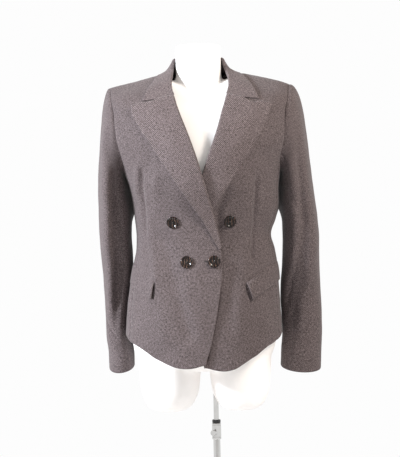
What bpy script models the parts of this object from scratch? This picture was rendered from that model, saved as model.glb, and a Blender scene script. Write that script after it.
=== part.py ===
"""A woman's double-breasted blazer with peak lapels, on a dress form with a telescopic stand.

Metres, +Z up. The wearer faces -Y, and +X is the wearer's left. The floor is z = 0 under the form's
middle. Cloth pieces are closed walls between an outer and an inner grid of points, and every one of
them is made from the same torso surface, so that seams run true and what lies on a panel follows it.
"""

import math
from collections import namedtuple

import bmesh
import bpy
import numpy as np
from mathutils import Matrix, Vector

# ---------------------------------------------------------------- driving dimensions
CLOTH = 0.0018  # wool cloth with its fusing
SEAM = 0.0003  # clearance between two pieces at a seam
LAP_LIFT = 0.0053  # how far the upper front's outer face stands off the under front's
ROLL_FOLD = 0.0026  # a pressed fold: cloth middle to cloth middle
LEFT, RIGHT = 1, -1  # the wearer's sides, as signs of X
FRONT_FACE, BACK_FACE = 1, -1

# The blazer's outer surface, in level rings from below the hem to the shoulder ridge. The last two
# rows are the ridge and the row that mirrors the one before it. "slope" lets a ring fall with |x|.
Section = namedtuple("Section", "height right left middle front back slope")
TORSO = [
    Section(0.740, 0.1690, 0.1690, 0.000, 0.1260, 0.1300, 0.0),
    Section(0.800, 0.1670, 0.1670, 0.000, 0.1250, 0.1300, 0.0),
    Section(0.860, 0.1645, 0.1645, 0.000, 0.1225, 0.1290, 0.0),
    Section(0.930, 0.1585, 0.1605, 0.000, 0.1170, 0.1260, 0.0),
    Section(1.000, 0.1475, 0.1570, 0.000, 0.1090, 0.1120, 0.0),
    Section(1.035, 0.1400, 0.1525, 0.000, 0.1060, 0.1030, 0.0),
    Section(1.068, 0.1380, 0.1445, 0.000, 0.1055, 0.0985, 0.0),
    Section(1.100, 0.1400, 0.1545, 0.000, 0.1085, 0.0990, 0.0),
    Section(1.130, 0.1430, 0.1625, 0.000, 0.1155, 0.1020, 0.0),
    Section(1.170, 0.1500, 0.1635, 0.000, 0.1270, 0.1070, 0.0),
    Section(1.220, 0.1690, 0.1730, 0.000, 0.1300, 0.1130, 0.0),
    Section(1.270, 0.1930, 0.1940, 0.000, 0.1210, 0.1150, 0.0),
    Section(1.320, 0.2010, 0.2020, 0.004, 0.1040, 0.1080, 0.0),
    Section(1.360, 0.2040, 0.2050, 0.008, 0.0800, 0.0950, 0.05),
    Section(1.395, 0.2020, 0.2030, 0.012, 0.0470, 0.0680, 0.14),
    Section(1.4266, 0.2000, 0.2030, 0.015, 0.0000, 0.0000, 0.2365),
    Section(1.395, 0.2020, 0.2030, 0.012, -0.0470, -0.0680, 0.14),
]
RIDGE = len(TORSO) - 2  # the row of the shoulder seams
SQUARENESS = 0.92  # 1 is an ellipse; less is squarer

# The hem's height round the body, dipping at each side of the front's split.
Hem = namedtuple("Hem", "turn height")
HEM = [
    Hem(-30, 0.806), Hem(0, 0.8065), Hem(6, 0.8015), Hem(12, 0.799), Hem(18, 0.8005),
    Hem(24, 0.806), Hem(33, 0.817), Hem(43, 0.8275), Hem(54, 0.840), Hem(63, 0.8485),
    Hem(78, 0.860), Hem(92, 0.865), Hem(130, 0.868), Hem(180, 0.866),
]

# A front's free edge: the closing edge up to the break of the lapel, then the fold line of the
# lapel, then the neckline. "reach" is towards the piece's own side, so it is negative past centre.
Edge = namedtuple("Edge", "height reach")
FRONT_EDGE = {
    RIGHT: [
        Edge(0.8075, -0.0020), Edge(0.8400, -0.0120), Edge(0.8780, -0.0205), Edge(0.9140, -0.0275),
        Edge(0.9520, -0.0335), Edge(0.9850, -0.0378), Edge(1.0150, -0.0388), Edge(1.0450, -0.0358),
        Edge(1.0800, -0.0275), Edge(1.1200, -0.0180), Edge(1.1700, -0.0045), Edge(1.2000, 0.0045),
        Edge(1.2400, 0.0165), Edge(1.2800, 0.0305), Edge(1.3200, 0.0450), Edge(1.3500, 0.0540),
        Edge(1.3730, 0.0600), Edge(1.3900, 0.0625), Edge(1.4115, 0.0640),
    ],
    LEFT: [
        Edge(0.8075, -0.0020), Edge(0.8400, -0.0120), Edge(0.8780, -0.0205), Edge(0.9140, -0.0275),
        Edge(0.9520, -0.0335), Edge(0.9850, -0.0378), Edge(1.0150, -0.0388), Edge(1.0450, -0.0358),
        Edge(1.0800, -0.0275), Edge(1.1200, -0.0180), Edge(1.1700, -0.0030), Edge(1.2000, 0.0085),
        Edge(1.2400, 0.0235), Edge(1.2800, 0.0385), Edge(1.3200, 0.0500), Edge(1.3500, 0.0595),
        Edge(1.3730, 0.0655), Edge(1.3900, 0.0680), Edge(1.4100, 0.0695),
    ],
}
BREAK_HEIGHT = 1.042  # where the lapel starts to roll
GORGE_HEIGHT = 1.354  # where the lapel's fold meets the collar

# The lapel's outer edge from the break up to the tip of its peak.
LAPEL_EDGE = {
    RIGHT: [
        Edge(1.0400, -0.0325), Edge(1.0600, -0.0217), Edge(1.0800, -0.0120), Edge(1.1010, -0.0014),
        Edge(1.1210, 0.0110), Edge(1.1400, 0.0230), Edge(1.1680, 0.0420), Edge(1.2010, 0.0630),
        Edge(1.2225, 0.0775), Edge(1.2440, 0.0915), Edge(1.2715, 0.1094), Edge(1.2895, 0.1212),
        Edge(1.3135, 0.1338), Edge(1.3360, 0.1380),
    ],
    LEFT: [
        Edge(1.0400, -0.0320), Edge(1.0600, -0.0200), Edge(1.0800, -0.0075), Edge(1.1010, 0.0080),
        Edge(1.1210, 0.0222), Edge(1.1400, 0.0345), Edge(1.1680, 0.0530), Edge(1.2010, 0.0738),
        Edge(1.2225, 0.0877), Edge(1.2440, 0.1020), Edge(1.2715, 0.1196), Edge(1.2895, 0.1300),
        Edge(1.3135, 0.1400), Edge(1.3360, 0.1475),
    ],
}
LAPEL_ROWS, LAPEL_FOLD_POINTS, LAPEL_FLAT_POINTS = 17, 5, 6
LAPEL_GAP = 0.0008  # clearance between the front's edge and its lapel
LAPEL_TOP_ARCH = {LEFT: 0.0, RIGHT: 0.0018}  # how far the lapel's top edge bows up to its peak
LAPEL_SOFTNESS = {LEFT: 0.0045, RIGHT: 0.0040}  # how much higher the fold is where it rolls softly
LAPEL_EDGE_LIFT = {LEFT: 0.0024, RIGHT: 0.0008}  # how much the outer edge stands off there
LAPEL_SOFT_HEIGHTS = {LEFT: (1.19, 1.25), RIGHT: (1.05, 1.16)}  # where each of the two begins

# The armhole as (turn, row) of the torso surface, by the sleeve's own angle: 0 at the shoulder tip,
# 90 at the front, 180 under the arm, 270 at the back.
Scye = namedtuple("Scye", "angle turn row")
ARMHOLE = [
    Scye(0.0, 69.0, 15.00), Scye(22.5, 66.5, 14.25), Scye(45.0, 63.5, 13.20),
    Scye(67.5, 61.6, 12.20), Scye(90.0, 62.3, 11.25), Scye(112.5, 66.5, 10.50),
    Scye(135.0, 73.0, 9.97), Scye(157.5, 81.0, 9.66), Scye(180.0, 90.0, 9.57),
    Scye(202.5, 99.0, 9.66), Scye(225.0, 107.0, 9.97), Scye(247.5, 113.5, 10.50),
    Scye(270.0, 117.5, 11.25), Scye(292.5, 118.4, 12.20), Scye(315.0, 116.5, 13.20),
    Scye(337.5, 113.5, 14.25), Scye(360.0, 111.0, 15.00),
]
SIDE_SEAMS = (135.0, 225.0)  # sleeve angles at which the side panel's seams reach the armhole
FRONT_SEAM_TURN, BACK_SEAM_TURN = 69.0, 111.0  # where the side panel's seams meet the hem
SEAM_TURNS = 0.10  # half the clearance of a lengthwise seam, in degrees
SHOULDER_GAP_ROWS = 0.012  # how far the front and the back each end short of the shoulder seam
ROWS_BELOW, ROWS_ABOVE = 12, 12  # steps of a panel from the hem to the armhole, and along the armhole
FRONT_COLUMNS, SIDE_COLUMNS, BACK_COLUMNS = 12, 8, 8  # steps across each panel
SLEEVE_SIDES = 32  # points round a sleeve
SLEEVE_SEAMS = (123.75, 247.5)  # sleeve angles of the fore-arm seam and the elbow seam
SLEEVE_CAP_STEPS, SLEEVE_STEPS = 6, 10  # steps down a sleeve's head and down its arm

# Each sleeve below the arm, in level rings: its nearest and furthest reach from the middle of the
# body, its middle and half depth front to back, and how deep its hanging fold is and where.
Ring = namedtuple("Ring", "height near far middle depth fold angle")
SLEEVES = {
    RIGHT: [
        Ring(1.165, 0.1550, 0.2172, 0.018, 0.076, 0.0020, 98),
        Ring(1.130, 0.1485, 0.2171, 0.019, 0.073, 0.0040, 97),
        Ring(1.105, 0.1480, 0.2168, 0.017, 0.072, 0.0050, 97),
        Ring(1.060, 0.1482, 0.2160, 0.020, 0.069, 0.0060, 95),
        Ring(1.000, 0.1472, 0.2125, 0.036, 0.062, 0.0060, 93),
        Ring(0.940, 0.1560, 0.2095, 0.050, 0.058, 0.0045, 90),
        Ring(0.890, 0.1597, 0.2068, 0.057, 0.053, 0.0025, 86),
        Ring(0.855, 0.1575, 0.2040, 0.055, 0.052, 0.0012, 80),
        Ring(0.825, 0.1510, 0.2012, 0.050, 0.051, 0.0004, 80),
        Ring(0.789, 0.1495, 0.2000, 0.046, 0.050, 0.0000, 80),
    ],
    LEFT: [
        Ring(1.165, 0.1675, 0.2365, 0.020, 0.074, 0.0020, 74),
        Ring(1.135, 0.1665, 0.2385, 0.020, 0.071, 0.0040, 76),
        Ring(1.108, 0.1695, 0.2405, 0.018, 0.069, 0.0050, 77),
        Ring(1.060, 0.1700, 0.2440, 0.016, 0.064, 0.0055, 80),
        Ring(1.000, 0.1675, 0.2445, 0.022, 0.058, 0.0060, 90),
        Ring(0.940, 0.1630, 0.2450, 0.034, 0.050, 0.0060, 108),
        Ring(0.890, 0.1650, 0.2460, 0.036, 0.046, 0.0045, 124),
        Ring(0.855, 0.1655, 0.2455, 0.034, 0.043, 0.0020, 130),
        Ring(0.825, 0.1620, 0.2438, 0.030, 0.041, 0.0006, 130),
        Ring(0.782, 0.1598, 0.2415, 0.026, 0.039, 0.0000, 130),
    ],
}
CAP_REACH = {RIGHT: 0.025, LEFT: 0.033}  # how far a sleeve head carries on outwards from the shoulder
CAP_LEAN = {RIGHT: -0.003, LEFT: -0.012}  # how far the upper sleeve leans in over its length
CUFF_DIP = 0.009  # the cuff's front and back hang this much below its sides

# Soft valleys in the fronts, as (x, z) at the top and the foot, with a depth and a half width.
Valley = namedtuple("Valley", "side top foot depth width")
VALLEYS = [
    Valley(RIGHT, (-0.1165, 1.195), (-0.1125, 1.100), 0.0026, 0.011),
    Valley(RIGHT, (-0.1125, 1.100), (-0.0985, 0.985), 0.0022, 0.011),
    Valley(LEFT, (0.1160, 1.195), (0.1120, 1.100), 0.0026, 0.011),
    Valley(LEFT, (0.1120, 1.100), (0.0960, 0.985), 0.0018, 0.011),
    Valley(RIGHT, (-0.0880, 1.070), (-0.0740, 0.985), 0.0022, 0.013),
    Valley(RIGHT, (-0.0740, 0.985), (-0.0420, 0.860), 0.0030, 0.015),
    Valley(LEFT, (0.0600, 1.010), (0.0500, 0.880), 0.0020, 0.014),
]

# The collar from the middle of the back (0) to the gorge (1): its neck seam and outer edge on the
# torso surface as (reach, height), its fold in space, and how its fall bellies out.
Station = namedtuple("Station", "place neck fold edge belly")
COLLAR = [
    Station(0.00, (0.0000, 1.4020), (0.0000, 0.0665, 1.4410), (0.0000, 1.3860), -0.0020),
    Station(0.14, (0.0250, 1.4030), (0.0230, 0.0625, 1.4415), (0.0290, 1.3870), -0.0025),
    Station(0.28, (0.0460, 1.4070), (0.0400, 0.0500, 1.4425), (0.0560, 1.3915), -0.0025),
    Station(0.42, (0.0590, 1.4095), (0.0505, 0.0320, 1.4415), (0.0765, 1.4005), -0.0030),
    Station(0.55, (0.0640, 1.4105), (0.0530, 0.0120, 1.4290), (0.0835, 1.4045), -0.0030),
    Station(0.66, (0.0645, 1.4050), (0.0535, -0.0060, 1.4140), (0.0885, 1.3985), -0.0010),
    Station(0.77, (0.0630, 1.3925), (0.0555, -0.0270, 1.3985), (0.0975, 1.3855), 0.0005),
    Station(0.88, (0.0608, 1.3760), (0.0563, -0.0505, 1.3780), (0.1078, 1.3690), 0.0020),
    Station(1.00, (0.0562, 1.3585), (0.0515, -0.0735, 1.3580), (0.1170, 1.3465), 0.0022),
]
COLLAR_FOLD = 0.0026  # radius of the collar's fold, to the middle of the cloth
COLLAR_SEAT = 0.0010  # how high the collar's two long edges stand off the cloth they lie on
COLLAR_ASIDE = {LEFT: 0.0058, RIGHT: 0.0}  # how far the front of the collar has slipped to its own side
COLLAR_BRIDGE = 0.0038  # how much higher they stand where they cross the shoulder seam
SHOULDER_PLACE = 0.60  # stations nearer the back than this lie on the back
COLLAR_STEPS = 14  # steps along each half of the collar

# A flap's two front corners as (x, z), the heights of its back end, and how far its foot stands off.
Flap = namedtuple("Flap", "top foot top_end foot_end stand")
FLAPS = {
    LEFT: Flap((0.0880, 0.9715), (0.0978, 0.9370), 1.0110, 0.9730, 0.0050),
    RIGHT: Flap((-0.0985, 0.9765), (-0.1050, 0.9420), 1.0140, 0.9720, 0.0024),
}
FLAP_END = 86.0  # the turn at which a flap ends, behind the sleeve
WELT_INNER, WELT_OUTER, WELT_TOP = 0.078, 0.1490, 1.2455
WELT_HEIGHT, WELT_RISE, WELT_THICK = 0.0225, 0.0035, 0.0012

# The four buttons by their places on the fronts.
Button = namedtuple("Button", "name x z side")
BUTTONS = [
    Button("button_upper_right", -0.0570, 1.0985, RIGHT),
    Button("button_lower_right", -0.0320, 1.0160, RIGHT),
    Button("button_fastened", 0.0225, 1.0160, RIGHT),
    Button("button_upper_left", 0.0568, 1.0970, LEFT),
]
BUTTON_RADIUS = 0.0125
BUTTON_THICK = 0.0036
BUTTON_SEAT = 0.0009  # the button's underside above the cloth, on its thread shank
HOLE_RADIUS, HOLE_SPACING = 0.0011, 0.0021

# The underside of the shoulder seams as a line, where the cloth rests on the dress form.
RIDGE_SLOPE = TORSO[RIDGE].slope
RIDGE_INSIDE = TORSO[RIDGE].height - CLOTH / math.cos(math.atan(RIDGE_SLOPE)) - SEAM

# The dress form inside, smooth and clear of the cloth, and one of its two rounded stubs.
# A ring may lie higher at its sides than at its front and back, as round the neck.
Form = namedtuple("Form", "ahead beside behind half middle front back")
FORM = [
    Form(0.786, 0.786, 0.786, 0.0900, 0.000, 0.0450, 0.0560),
    Form(0.796, 0.796, 0.796, 0.1250, 0.000, 0.0720, 0.0860),
    Form(0.820, 0.820, 0.820, 0.1430, 0.000, 0.0970, 0.1080),
    Form(0.860, 0.860, 0.860, 0.1520, 0.000, 0.1110, 0.1170),
    Form(0.930, 0.930, 0.930, 0.1490, 0.000, 0.1070, 0.1150),
    Form(1.000, 1.000, 1.000, 0.1380, 0.000, 0.0990, 0.1020),
    Form(1.068, 1.068, 1.068, 0.1300, 0.000, 0.0960, 0.0900),
    Form(1.120, 1.120, 1.120, 0.1330, 0.000, 0.1020, 0.0920),
    Form(1.170, 1.170, 1.170, 0.1400, 0.000, 0.1150, 0.0970),
    Form(1.220, 1.225, 1.222, 0.1480, 0.000, 0.1180, 0.1020),
    Form(1.262, 1.280, 1.270, 0.1560, 0.003, 0.1090, 0.1000),
    Form(1.294, 1.330, 1.306, 0.1600, 0.008, 0.0960, 0.0940),
    Form(1.316, 1.362, 1.328, 0.1590, 0.012, 0.0840, 0.0850),
    Form(1.328, RIDGE_INSIDE - 0.150 * RIDGE_SLOPE - 0.0040, 1.340, 0.1500, 0.014, 0.0740, 0.0770),
    Form(1.341, RIDGE_INSIDE - 0.128 * RIDGE_SLOPE - 0.0009, 1.350, 0.1280, 0.015, 0.0640, 0.0680),
    Form(1.357, RIDGE_INSIDE - 0.104 * RIDGE_SLOPE - 0.0009, 1.363, 0.1040, 0.015, 0.0550, 0.0590),
    Form(1.370, RIDGE_INSIDE - 0.080 * RIDGE_SLOPE - 0.0010, 1.3755, 0.0800, 0.015, 0.0490, 0.0500),
    Form(1.385, 1.4066, 1.389, 0.0600, 0.014, 0.0465, 0.0455),
    Form(1.403, 1.4190, 1.408, 0.0495, 0.013, 0.0460, 0.0465),
    Form(1.4655, 1.4655, 1.4655, 0.0475, 0.012, 0.0460, 0.0460),
    Form(1.4670, 1.4670, 1.4670, 0.0455, 0.012, 0.0440, 0.0440),
]
Stub = namedtuple("Stub", "height middle half depth")
STUB = [
    Stub(0.7000, 0.0745, 0.0150, 0.0160), Stub(0.7025, 0.0745, 0.0320, 0.0340),
    Stub(0.7120, 0.0745, 0.0465, 0.0500), Stub(0.7280, 0.0740, 0.0550, 0.0600),
    Stub(0.7450, 0.0738, 0.0605, 0.0660), Stub(0.8000, 0.0735, 0.0655, 0.0740),
    Stub(0.8500, 0.0730, 0.0660, 0.0760),
]
FORM_SIDES = 28

# The stand, on the axis of its pole, behind the stubs.
POLE_AXIS = Vector((0.0215, 0.0560, 0.0))
POLE_RADIUS = 0.0055
POLE_FOOT, POLE_TOP = 0.330, 0.900
SOCKET_DEPTH_TOP = POLE_TOP + SEAM
TUBE_RADIUS = 0.0075
TUBE_TOP = 0.6640
TUBE_BORE_FOOT = 0.10
RING_RADIUS, RING_HEIGHT = 0.0090, 0.0070
COLLAR_CLAMP_RADIUS, COLLAR_CLAMP_HEIGHT = 0.0098, 0.034
KNOB_RADIUS, KNOB_LENGTH, KNOB_HEIGHT = 0.0060, 0.0095, 0.6450
KNOB_TURN = -24.0  # degrees by which the knob points to the wearer's right of straight ahead
BASE_RADIUS, BASE_THICK = 0.180, 0.010
RUNNING = 0.0003  # radial clearance of the pole in its tube and socket

# Finishes: name, base colour, roughness, metallic.
WOOL = ("wool", (0.175, 0.150, 0.146), 0.92, 0.0)
HORN = ("horn", (0.045, 0.033, 0.030), 0.22, 0.0)
FORM_SHELL = ("form_shell", (0.86, 0.84, 0.82), 0.40, 0.0)
CHROME = ("chrome", (0.72, 0.71, 0.70), 0.14, 1.0)
BLACK_PLASTIC = ("black_plastic", (0.03, 0.03, 0.03), 0.45, 0.0)


# ---------------------------------------------------------------- curves and surfaces
def through(rows, at):
    """A smooth curve through rows of numbers, read at row numbers that need not be whole."""
    rows = np.asarray(rows, float)
    at = np.asarray(at, float)
    low = np.clip(np.floor(at).astype(int), 0, len(rows) - 2)
    t = (at - low)[..., None]
    before, here = rows[np.maximum(low - 1, 0)], rows[low]
    there, after = rows[low + 1], rows[np.minimum(low + 2, len(rows) - 1)]
    start, end = (there - before) / 2, (after - here) / 2
    return (
        here
        + start * t
        + (3 * (there - here) - 2 * start - end) * t**2
        + (start + end - 2 * (there - here)) * t**3
    )


def read(table, column, key, at):
    """One column of a table, smoothly, where another column has these values."""
    keys = np.array([getattr(row, key) for row in table], float)
    whole = np.interp(at, keys, np.arange(len(keys)))
    return through([[getattr(row, column)] for row in table], whole)[..., 0]


def torso(turn, row):
    """Points of the blazer's outer surface. turn is 0 at centre front and +90 at the wearer's left."""
    turn, row = np.broadcast_arrays(np.asarray(turn, float), np.asarray(row, float))
    height, right, left, middle, front, back, slope = np.moveaxis(through(TORSO, row), -1, 0)
    sine, cosine = np.sin(np.radians(turn)), np.cos(np.radians(turn))
    half = np.where(sine > 0, left, right)
    x = half * np.sign(sine) * np.abs(sine) ** SQUARENESS
    depth = np.where(cosine > 0, front, back)
    y = middle - depth * np.sign(cosine) * np.abs(cosine) ** SQUARENESS
    return np.stack([x, y, height - slope * np.abs(x)], axis=-1)


def unit(vectors):
    return vectors / np.maximum(np.linalg.norm(vectors, axis=-1, keepdims=True), 1e-12)


def torso_normal(turn, row):
    """The outward direction of the torso surface."""
    step = 0.05
    round_body = torso(turn + 20 * step, row) - torso(turn - 20 * step, row)
    upwards = torso(turn, np.minimum(row + step, RIDGE)) - torso(turn, row - step)
    return unit(np.cross(round_body, upwards))


def place(x, z, face=FRONT_FACE):
    """The (turn, row) of the torso surface's point with this x and z."""
    x, z = np.broadcast_arrays(np.asarray(x, float), np.asarray(z, float))
    rows = np.linspace(0, RIDGE, 40 * RIDGE + 1)
    table = through(TORSO, rows)
    row = np.empty(x.shape)
    for index in np.ndindex(x.shape):
        row[index] = np.interp(z[index], table[:, 0] - table[:, 6] * abs(x[index]), rows)
    sections = through(TORSO, row)
    half = np.where(x > 0, sections[..., 2], sections[..., 1])
    share = np.clip(np.abs(x) / half, 0, 1) ** (1 / SQUARENESS)
    turn = np.degrees(np.arcsin(share))
    turn = turn if face == FRONT_FACE else 180 - turn
    return np.where(x < 0, -turn, turn), row


def smooth_step(low, high, at):
    t = np.clip((at - low) / (high - low), 0, 1)
    return t * t * (3 - 2 * t)


def valley_depth(points, side):
    """How far the fronts' soft valleys sink the cloth at these points."""
    depth = np.zeros(points.shape[:-1])
    for valley in VALLEYS:
        if valley.side != side:
            continue
        top, foot = np.array(valley.top), np.array(valley.foot)
        along = foot - top
        flat = points[..., [0, 2]] - top
        share = (flat @ along) / (along @ along)
        across = flat[..., 0] - along[0] * share
        fade = smooth_step(-0.12, 0.12, share) * (1 - smooth_step(0.88, 1.12, share))
        depth += valley.depth * fade * np.exp(-((across / valley.width) ** 2))
    return depth


def lap_lift(points, side):
    """How far a front's outer face stands off the torso surface: the right front laps over the left."""
    if side == LEFT:
        return np.zeros(points.shape[:-1])
    aside = smooth_step(0.045, 0.115, -points[..., 0])
    above = smooth_step(1.21, 1.32, points[..., 2])
    return LAP_LIFT * (1 - aside) * (1 - above) * (points[..., 1] < 0)


def on_front(x, z, side, lift):
    """Points that stand this far off the front panel of one side."""
    turn, row = place(x, z)
    normal = torso_normal(turn, row)
    points = torso(turn, row)
    rise = lap_lift(points, side) - valley_depth(points, side) + lift
    return points + normal * np.asarray(rise)[..., None]


# ---------------------------------------------------------------- making solids
def sided(name, side):
    return f"{name}_{'left' if side == LEFT else 'right'}"


def material(piece, finish):
    """A piece's own material, in one of the named finishes."""
    name, colour, roughness, metallic = finish
    made = bpy.data.materials.new(f"{name} {piece}")
    made.use_nodes = True
    shader = made.node_tree.nodes["Principled BSDF"]
    shader.inputs["Base Color"].default_value = (*colour, 1.0)
    shader.inputs["Roughness"].default_value = roughness
    shader.inputs["Metallic"].default_value = metallic
    return made


def finish_object(name, mesh_source, finish, collection):
    """Turns a bmesh into a named object with its material, shaded smooth between sharp edges."""
    bmesh.ops.recalc_face_normals(mesh_source, faces=mesh_source.faces)
    if mesh_source.calc_volume(signed=True) < 0:
        bmesh.ops.reverse_faces(mesh_source, faces=mesh_source.faces)
    mesh = bpy.data.meshes.new(name)
    mesh_source.to_mesh(mesh)
    mesh_source.free()
    mesh.shade_smooth()
    mesh.set_sharp_from_angle(angle=math.radians(40))
    mesh.materials.append(material(name, finish))
    made = bpy.data.objects.new(name, mesh)
    collection.objects.link(made)
    return made


def turned(name, profile, finish, collection, steps):
    """A round piece turned from a profile of (radius, height) that starts and ends on its axis."""
    body = bmesh.new()
    points = [body.verts.new((radius, 0, height)) for radius, height in profile]
    edges = [body.edges.new(pair) for pair in zip(points, points[1:])]
    bmesh.ops.spin(
        body, geom=points + edges, cent=(0, 0, 0), axis=(0, 0, 1), angle=math.tau, steps=steps, use_merge=True
    )
    bmesh.ops.remove_doubles(body, verts=body.verts, dist=1e-6)
    return finish_object(name, body, finish, collection)


def wall(name, outer, inner, collection, finish=WOOL):
    """A closed sheet of cloth between two grids of points, outer[row, column] and inner[row, column]."""
    rows, columns = outer.shape[:2]
    sheet = bmesh.new()
    row_of = sheet.verts.layers.int.new("row")
    column_of = sheet.verts.layers.int.new("column")
    bmesh.ops.create_grid(sheet, x_segments=columns - 1, y_segments=rows - 1, size=0.5)
    for vert in sheet.verts:
        vert[column_of] = round((vert.co.x + 0.5) * (columns - 1))
        vert[row_of] = round((vert.co.y + 0.5) * (rows - 1))
    layer = bmesh.ops.extrude_face_region(sheet, geom=sheet.faces[:], use_keep_orig=True)
    upper = {item for item in layer["geom"] if isinstance(item, bmesh.types.BMVert)}
    for vert in sheet.verts:
        grid = outer if vert in upper else inner
        vert.co = grid[vert[row_of], vert[column_of]]
    return finish_object(name, sheet, finish, collection)


def loft(name, rings, finish, collection):
    """A closed body through rings of points, capped at both ends."""
    body = bmesh.new()
    station = body.verts.layers.int.new("station")
    bmesh.ops.create_circle(body, cap_ends=True, segments=len(rings[0]), radius=1.0)
    cap = body.faces[:]
    for number, vert in enumerate(cap[0].verts):
        vert[station] = number
        vert.co = rings[0][number]
    for level, ring in enumerate(rings[1:]):
        grown = bmesh.ops.extrude_face_region(body, geom=cap)
        if level > 0:
            bmesh.ops.delete(body, geom=[face for face in cap if face.is_valid], context="FACES_ONLY")
        cap = [item for item in grown["geom"] if isinstance(item, bmesh.types.BMFace)]
        for vert in cap[0].verts:
            vert.co = ring[vert[station]]
    return finish_object(name, body, finish, collection)


def cylinder(name, radius, low, high, finish, collection, sides=24, axis=POLE_AXIS):
    """An upright round bar on the stand's axis."""
    bar = bmesh.new()
    bmesh.ops.create_cone(
        bar, cap_ends=True, segments=sides, radius1=radius, radius2=radius, depth=high - low
    )
    bmesh.ops.translate(bar, verts=bar.verts, vec=(axis.x, axis.y, (low + high) / 2))
    return finish_object(name, bar, finish, collection)


def boolean(target, tool, operation):
    """Joins or cuts with another object, which the scene then leaves out."""
    modifier = target.modifiers.new(operation.lower(), "BOOLEAN")
    modifier.operation = operation
    modifier.object = tool
    modifier.solver = "EXACT"
    tool.hide_render = True
    tool.display_type = "WIRE"


# ---------------------------------------------------------------- the panels of the body
def armhole_edge(angle):
    """(turn, row) of the armhole at these sleeve angles."""
    return read(ARMHOLE, "turn", "angle", angle), read(ARMHOLE, "row", "angle", angle)


def row_at_hem(turn):
    """The torso row at which the hem lies, at this turn."""
    heights = read(HEM, "height", "turn", np.abs(turn))
    rows = np.linspace(0, RIDGE, 40 * RIDGE + 1)
    return np.interp(heights, through(TORSO, rows)[:, 0], rows)


def front_edge_reach(height, side):
    return read(FRONT_EDGE[side], "reach", "height", height)


def edge_turn(row, side):
    """The turn of a front's free edge at these rows."""
    table = through(TORSO, row)
    reach = np.zeros(np.shape(row))
    for _ in range(4):
        reach = front_edge_reach(table[..., 0] - table[..., 6] * np.abs(reach), side)
    half = np.where(reach * side > 0, table[..., 2], table[..., 1])
    share = np.clip(np.abs(reach) / half, 0, 1) ** (1 / SQUARENESS)
    return np.degrees(np.arcsin(share)) * np.sign(reach) * side


def panel(name, turns, rows, side, collection):
    """A body panel from grids of (turn, row). The right front is lifted to lap over the left one."""
    points, normals = torso(turns, rows), torso_normal(turns, rows)
    lifts = (lap_lift(points, side) - valley_depth(points, side)) * name.startswith("front")
    outer = points + normals * lifts[..., None]
    return wall(name, outer, outer - normals * CLOTH, collection)


def upper_angles(near, far):
    """The sleeve angles at which a panel's edge follows the armhole, the same as the sleeve's own."""
    return np.linspace(near, far, ROWS_ABOVE + 1)


def seam_column(seam_turn, low_row, near, far):
    """(turn, row) down a panel's outer edge: side seam, then armhole, with one point for each step."""
    angles = upper_angles(near, far)
    arm_turn, arm_row = armhole_edge(angles)
    share = np.linspace(0, 1, ROWS_BELOW + 1)[:-1]
    low = low_row + (arm_row[0] - low_row) * share
    turn = seam_turn + (arm_turn[0] - seam_turn) * share**3
    return np.concatenate([turn, arm_turn]), np.concatenate([low, arm_row])


def make_front(side, collection):
    outer_turn, outer_row = seam_column(
        FRONT_SEAM_TURN, row_at_hem(FRONT_SEAM_TURN), SIDE_SEAMS[0], 0.0
    )
    low_row = row_at_hem(-1.0)  # where the closing edge meets the hem
    share = (outer_row - outer_row[0]) / (outer_row[-1] - outer_row[0])
    inner_row = low_row + (RIDGE - low_row) * share
    inner_turn = edge_turn(inner_row, side) * side
    across = np.linspace(0, 1, FRONT_COLUMNS + 1)
    turns = inner_turn[:, None] * (1 - across) + (outer_turn - SEAM_TURNS)[:, None] * across
    rows = inner_row[:, None] * (1 - across) + outer_row[:, None] * across
    # The hem follows its own curve, and that fades out up the panel.
    fade = (1 - share[:, None]) ** 2
    rows += fade * (row_at_hem(turns[:1]) - rows[:1])
    rows = np.minimum(rows, RIDGE)
    rows[-1] -= SHOULDER_GAP_ROWS
    return panel(sided("front", side), turns * side, rows, side, collection)


def make_side(side, collection):
    angles = np.linspace(*SIDE_SEAMS, SIDE_COLUMNS + 1)
    top_turn, top_row = armhole_edge(angles)
    foot_turn = np.linspace(FRONT_SEAM_TURN, BACK_SEAM_TURN, SIDE_COLUMNS + 1)
    foot_row = row_at_hem(foot_turn)
    share = np.linspace(0, 1, ROWS_BELOW + 1)[:, None]
    turns = foot_turn + (top_turn - foot_turn) * share**3
    turns[:, 0] += SEAM_TURNS
    turns[:, -1] -= SEAM_TURNS
    rows = foot_row + (top_row - foot_row) * share
    return panel(sided("side", side), turns * side, rows, side, collection)


def make_back(side, collection):
    outer_turn, outer_row = seam_column(
        BACK_SEAM_TURN, row_at_hem(BACK_SEAM_TURN), SIDE_SEAMS[1], 360.0
    )
    middle_turn = 180 - SEAM_TURNS
    neck_turn = 180 - place(COLLAR[4].neck[0], COLLAR[4].neck[1])[0]
    neck_row = place(0.0, COLLAR[0].neck[1], BACK_FACE)[1]
    share = (outer_row - outer_row[0]) / (outer_row[-1] - outer_row[0])
    low_row = row_at_hem(middle_turn)
    across = np.linspace(0, 1, BACK_COLUMNS + 1)
    turns = middle_turn * (1 - across) + (outer_turn + SEAM_TURNS)[:, None] * across
    rows = (low_row + (RIDGE - low_row) * share)[:, None] * (1 - across) + outer_row[:, None] * across
    # The neckline is scooped below the shoulder seam, and the scoop fades out down the back.
    scoop = np.clip((turns - neck_turn) / (180 - neck_turn), 0, 1)
    sunk = (RIDGE - neck_row) * np.sqrt(1 - (1 - scoop) ** 2)
    rows -= sunk * np.clip((rows - 11.0) / (RIDGE - 11.0), 0, 1) ** 1.5
    rows[-1] -= SHOULDER_GAP_ROWS
    return panel(sided("back", side), turns * side, rows, side, collection)


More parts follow.
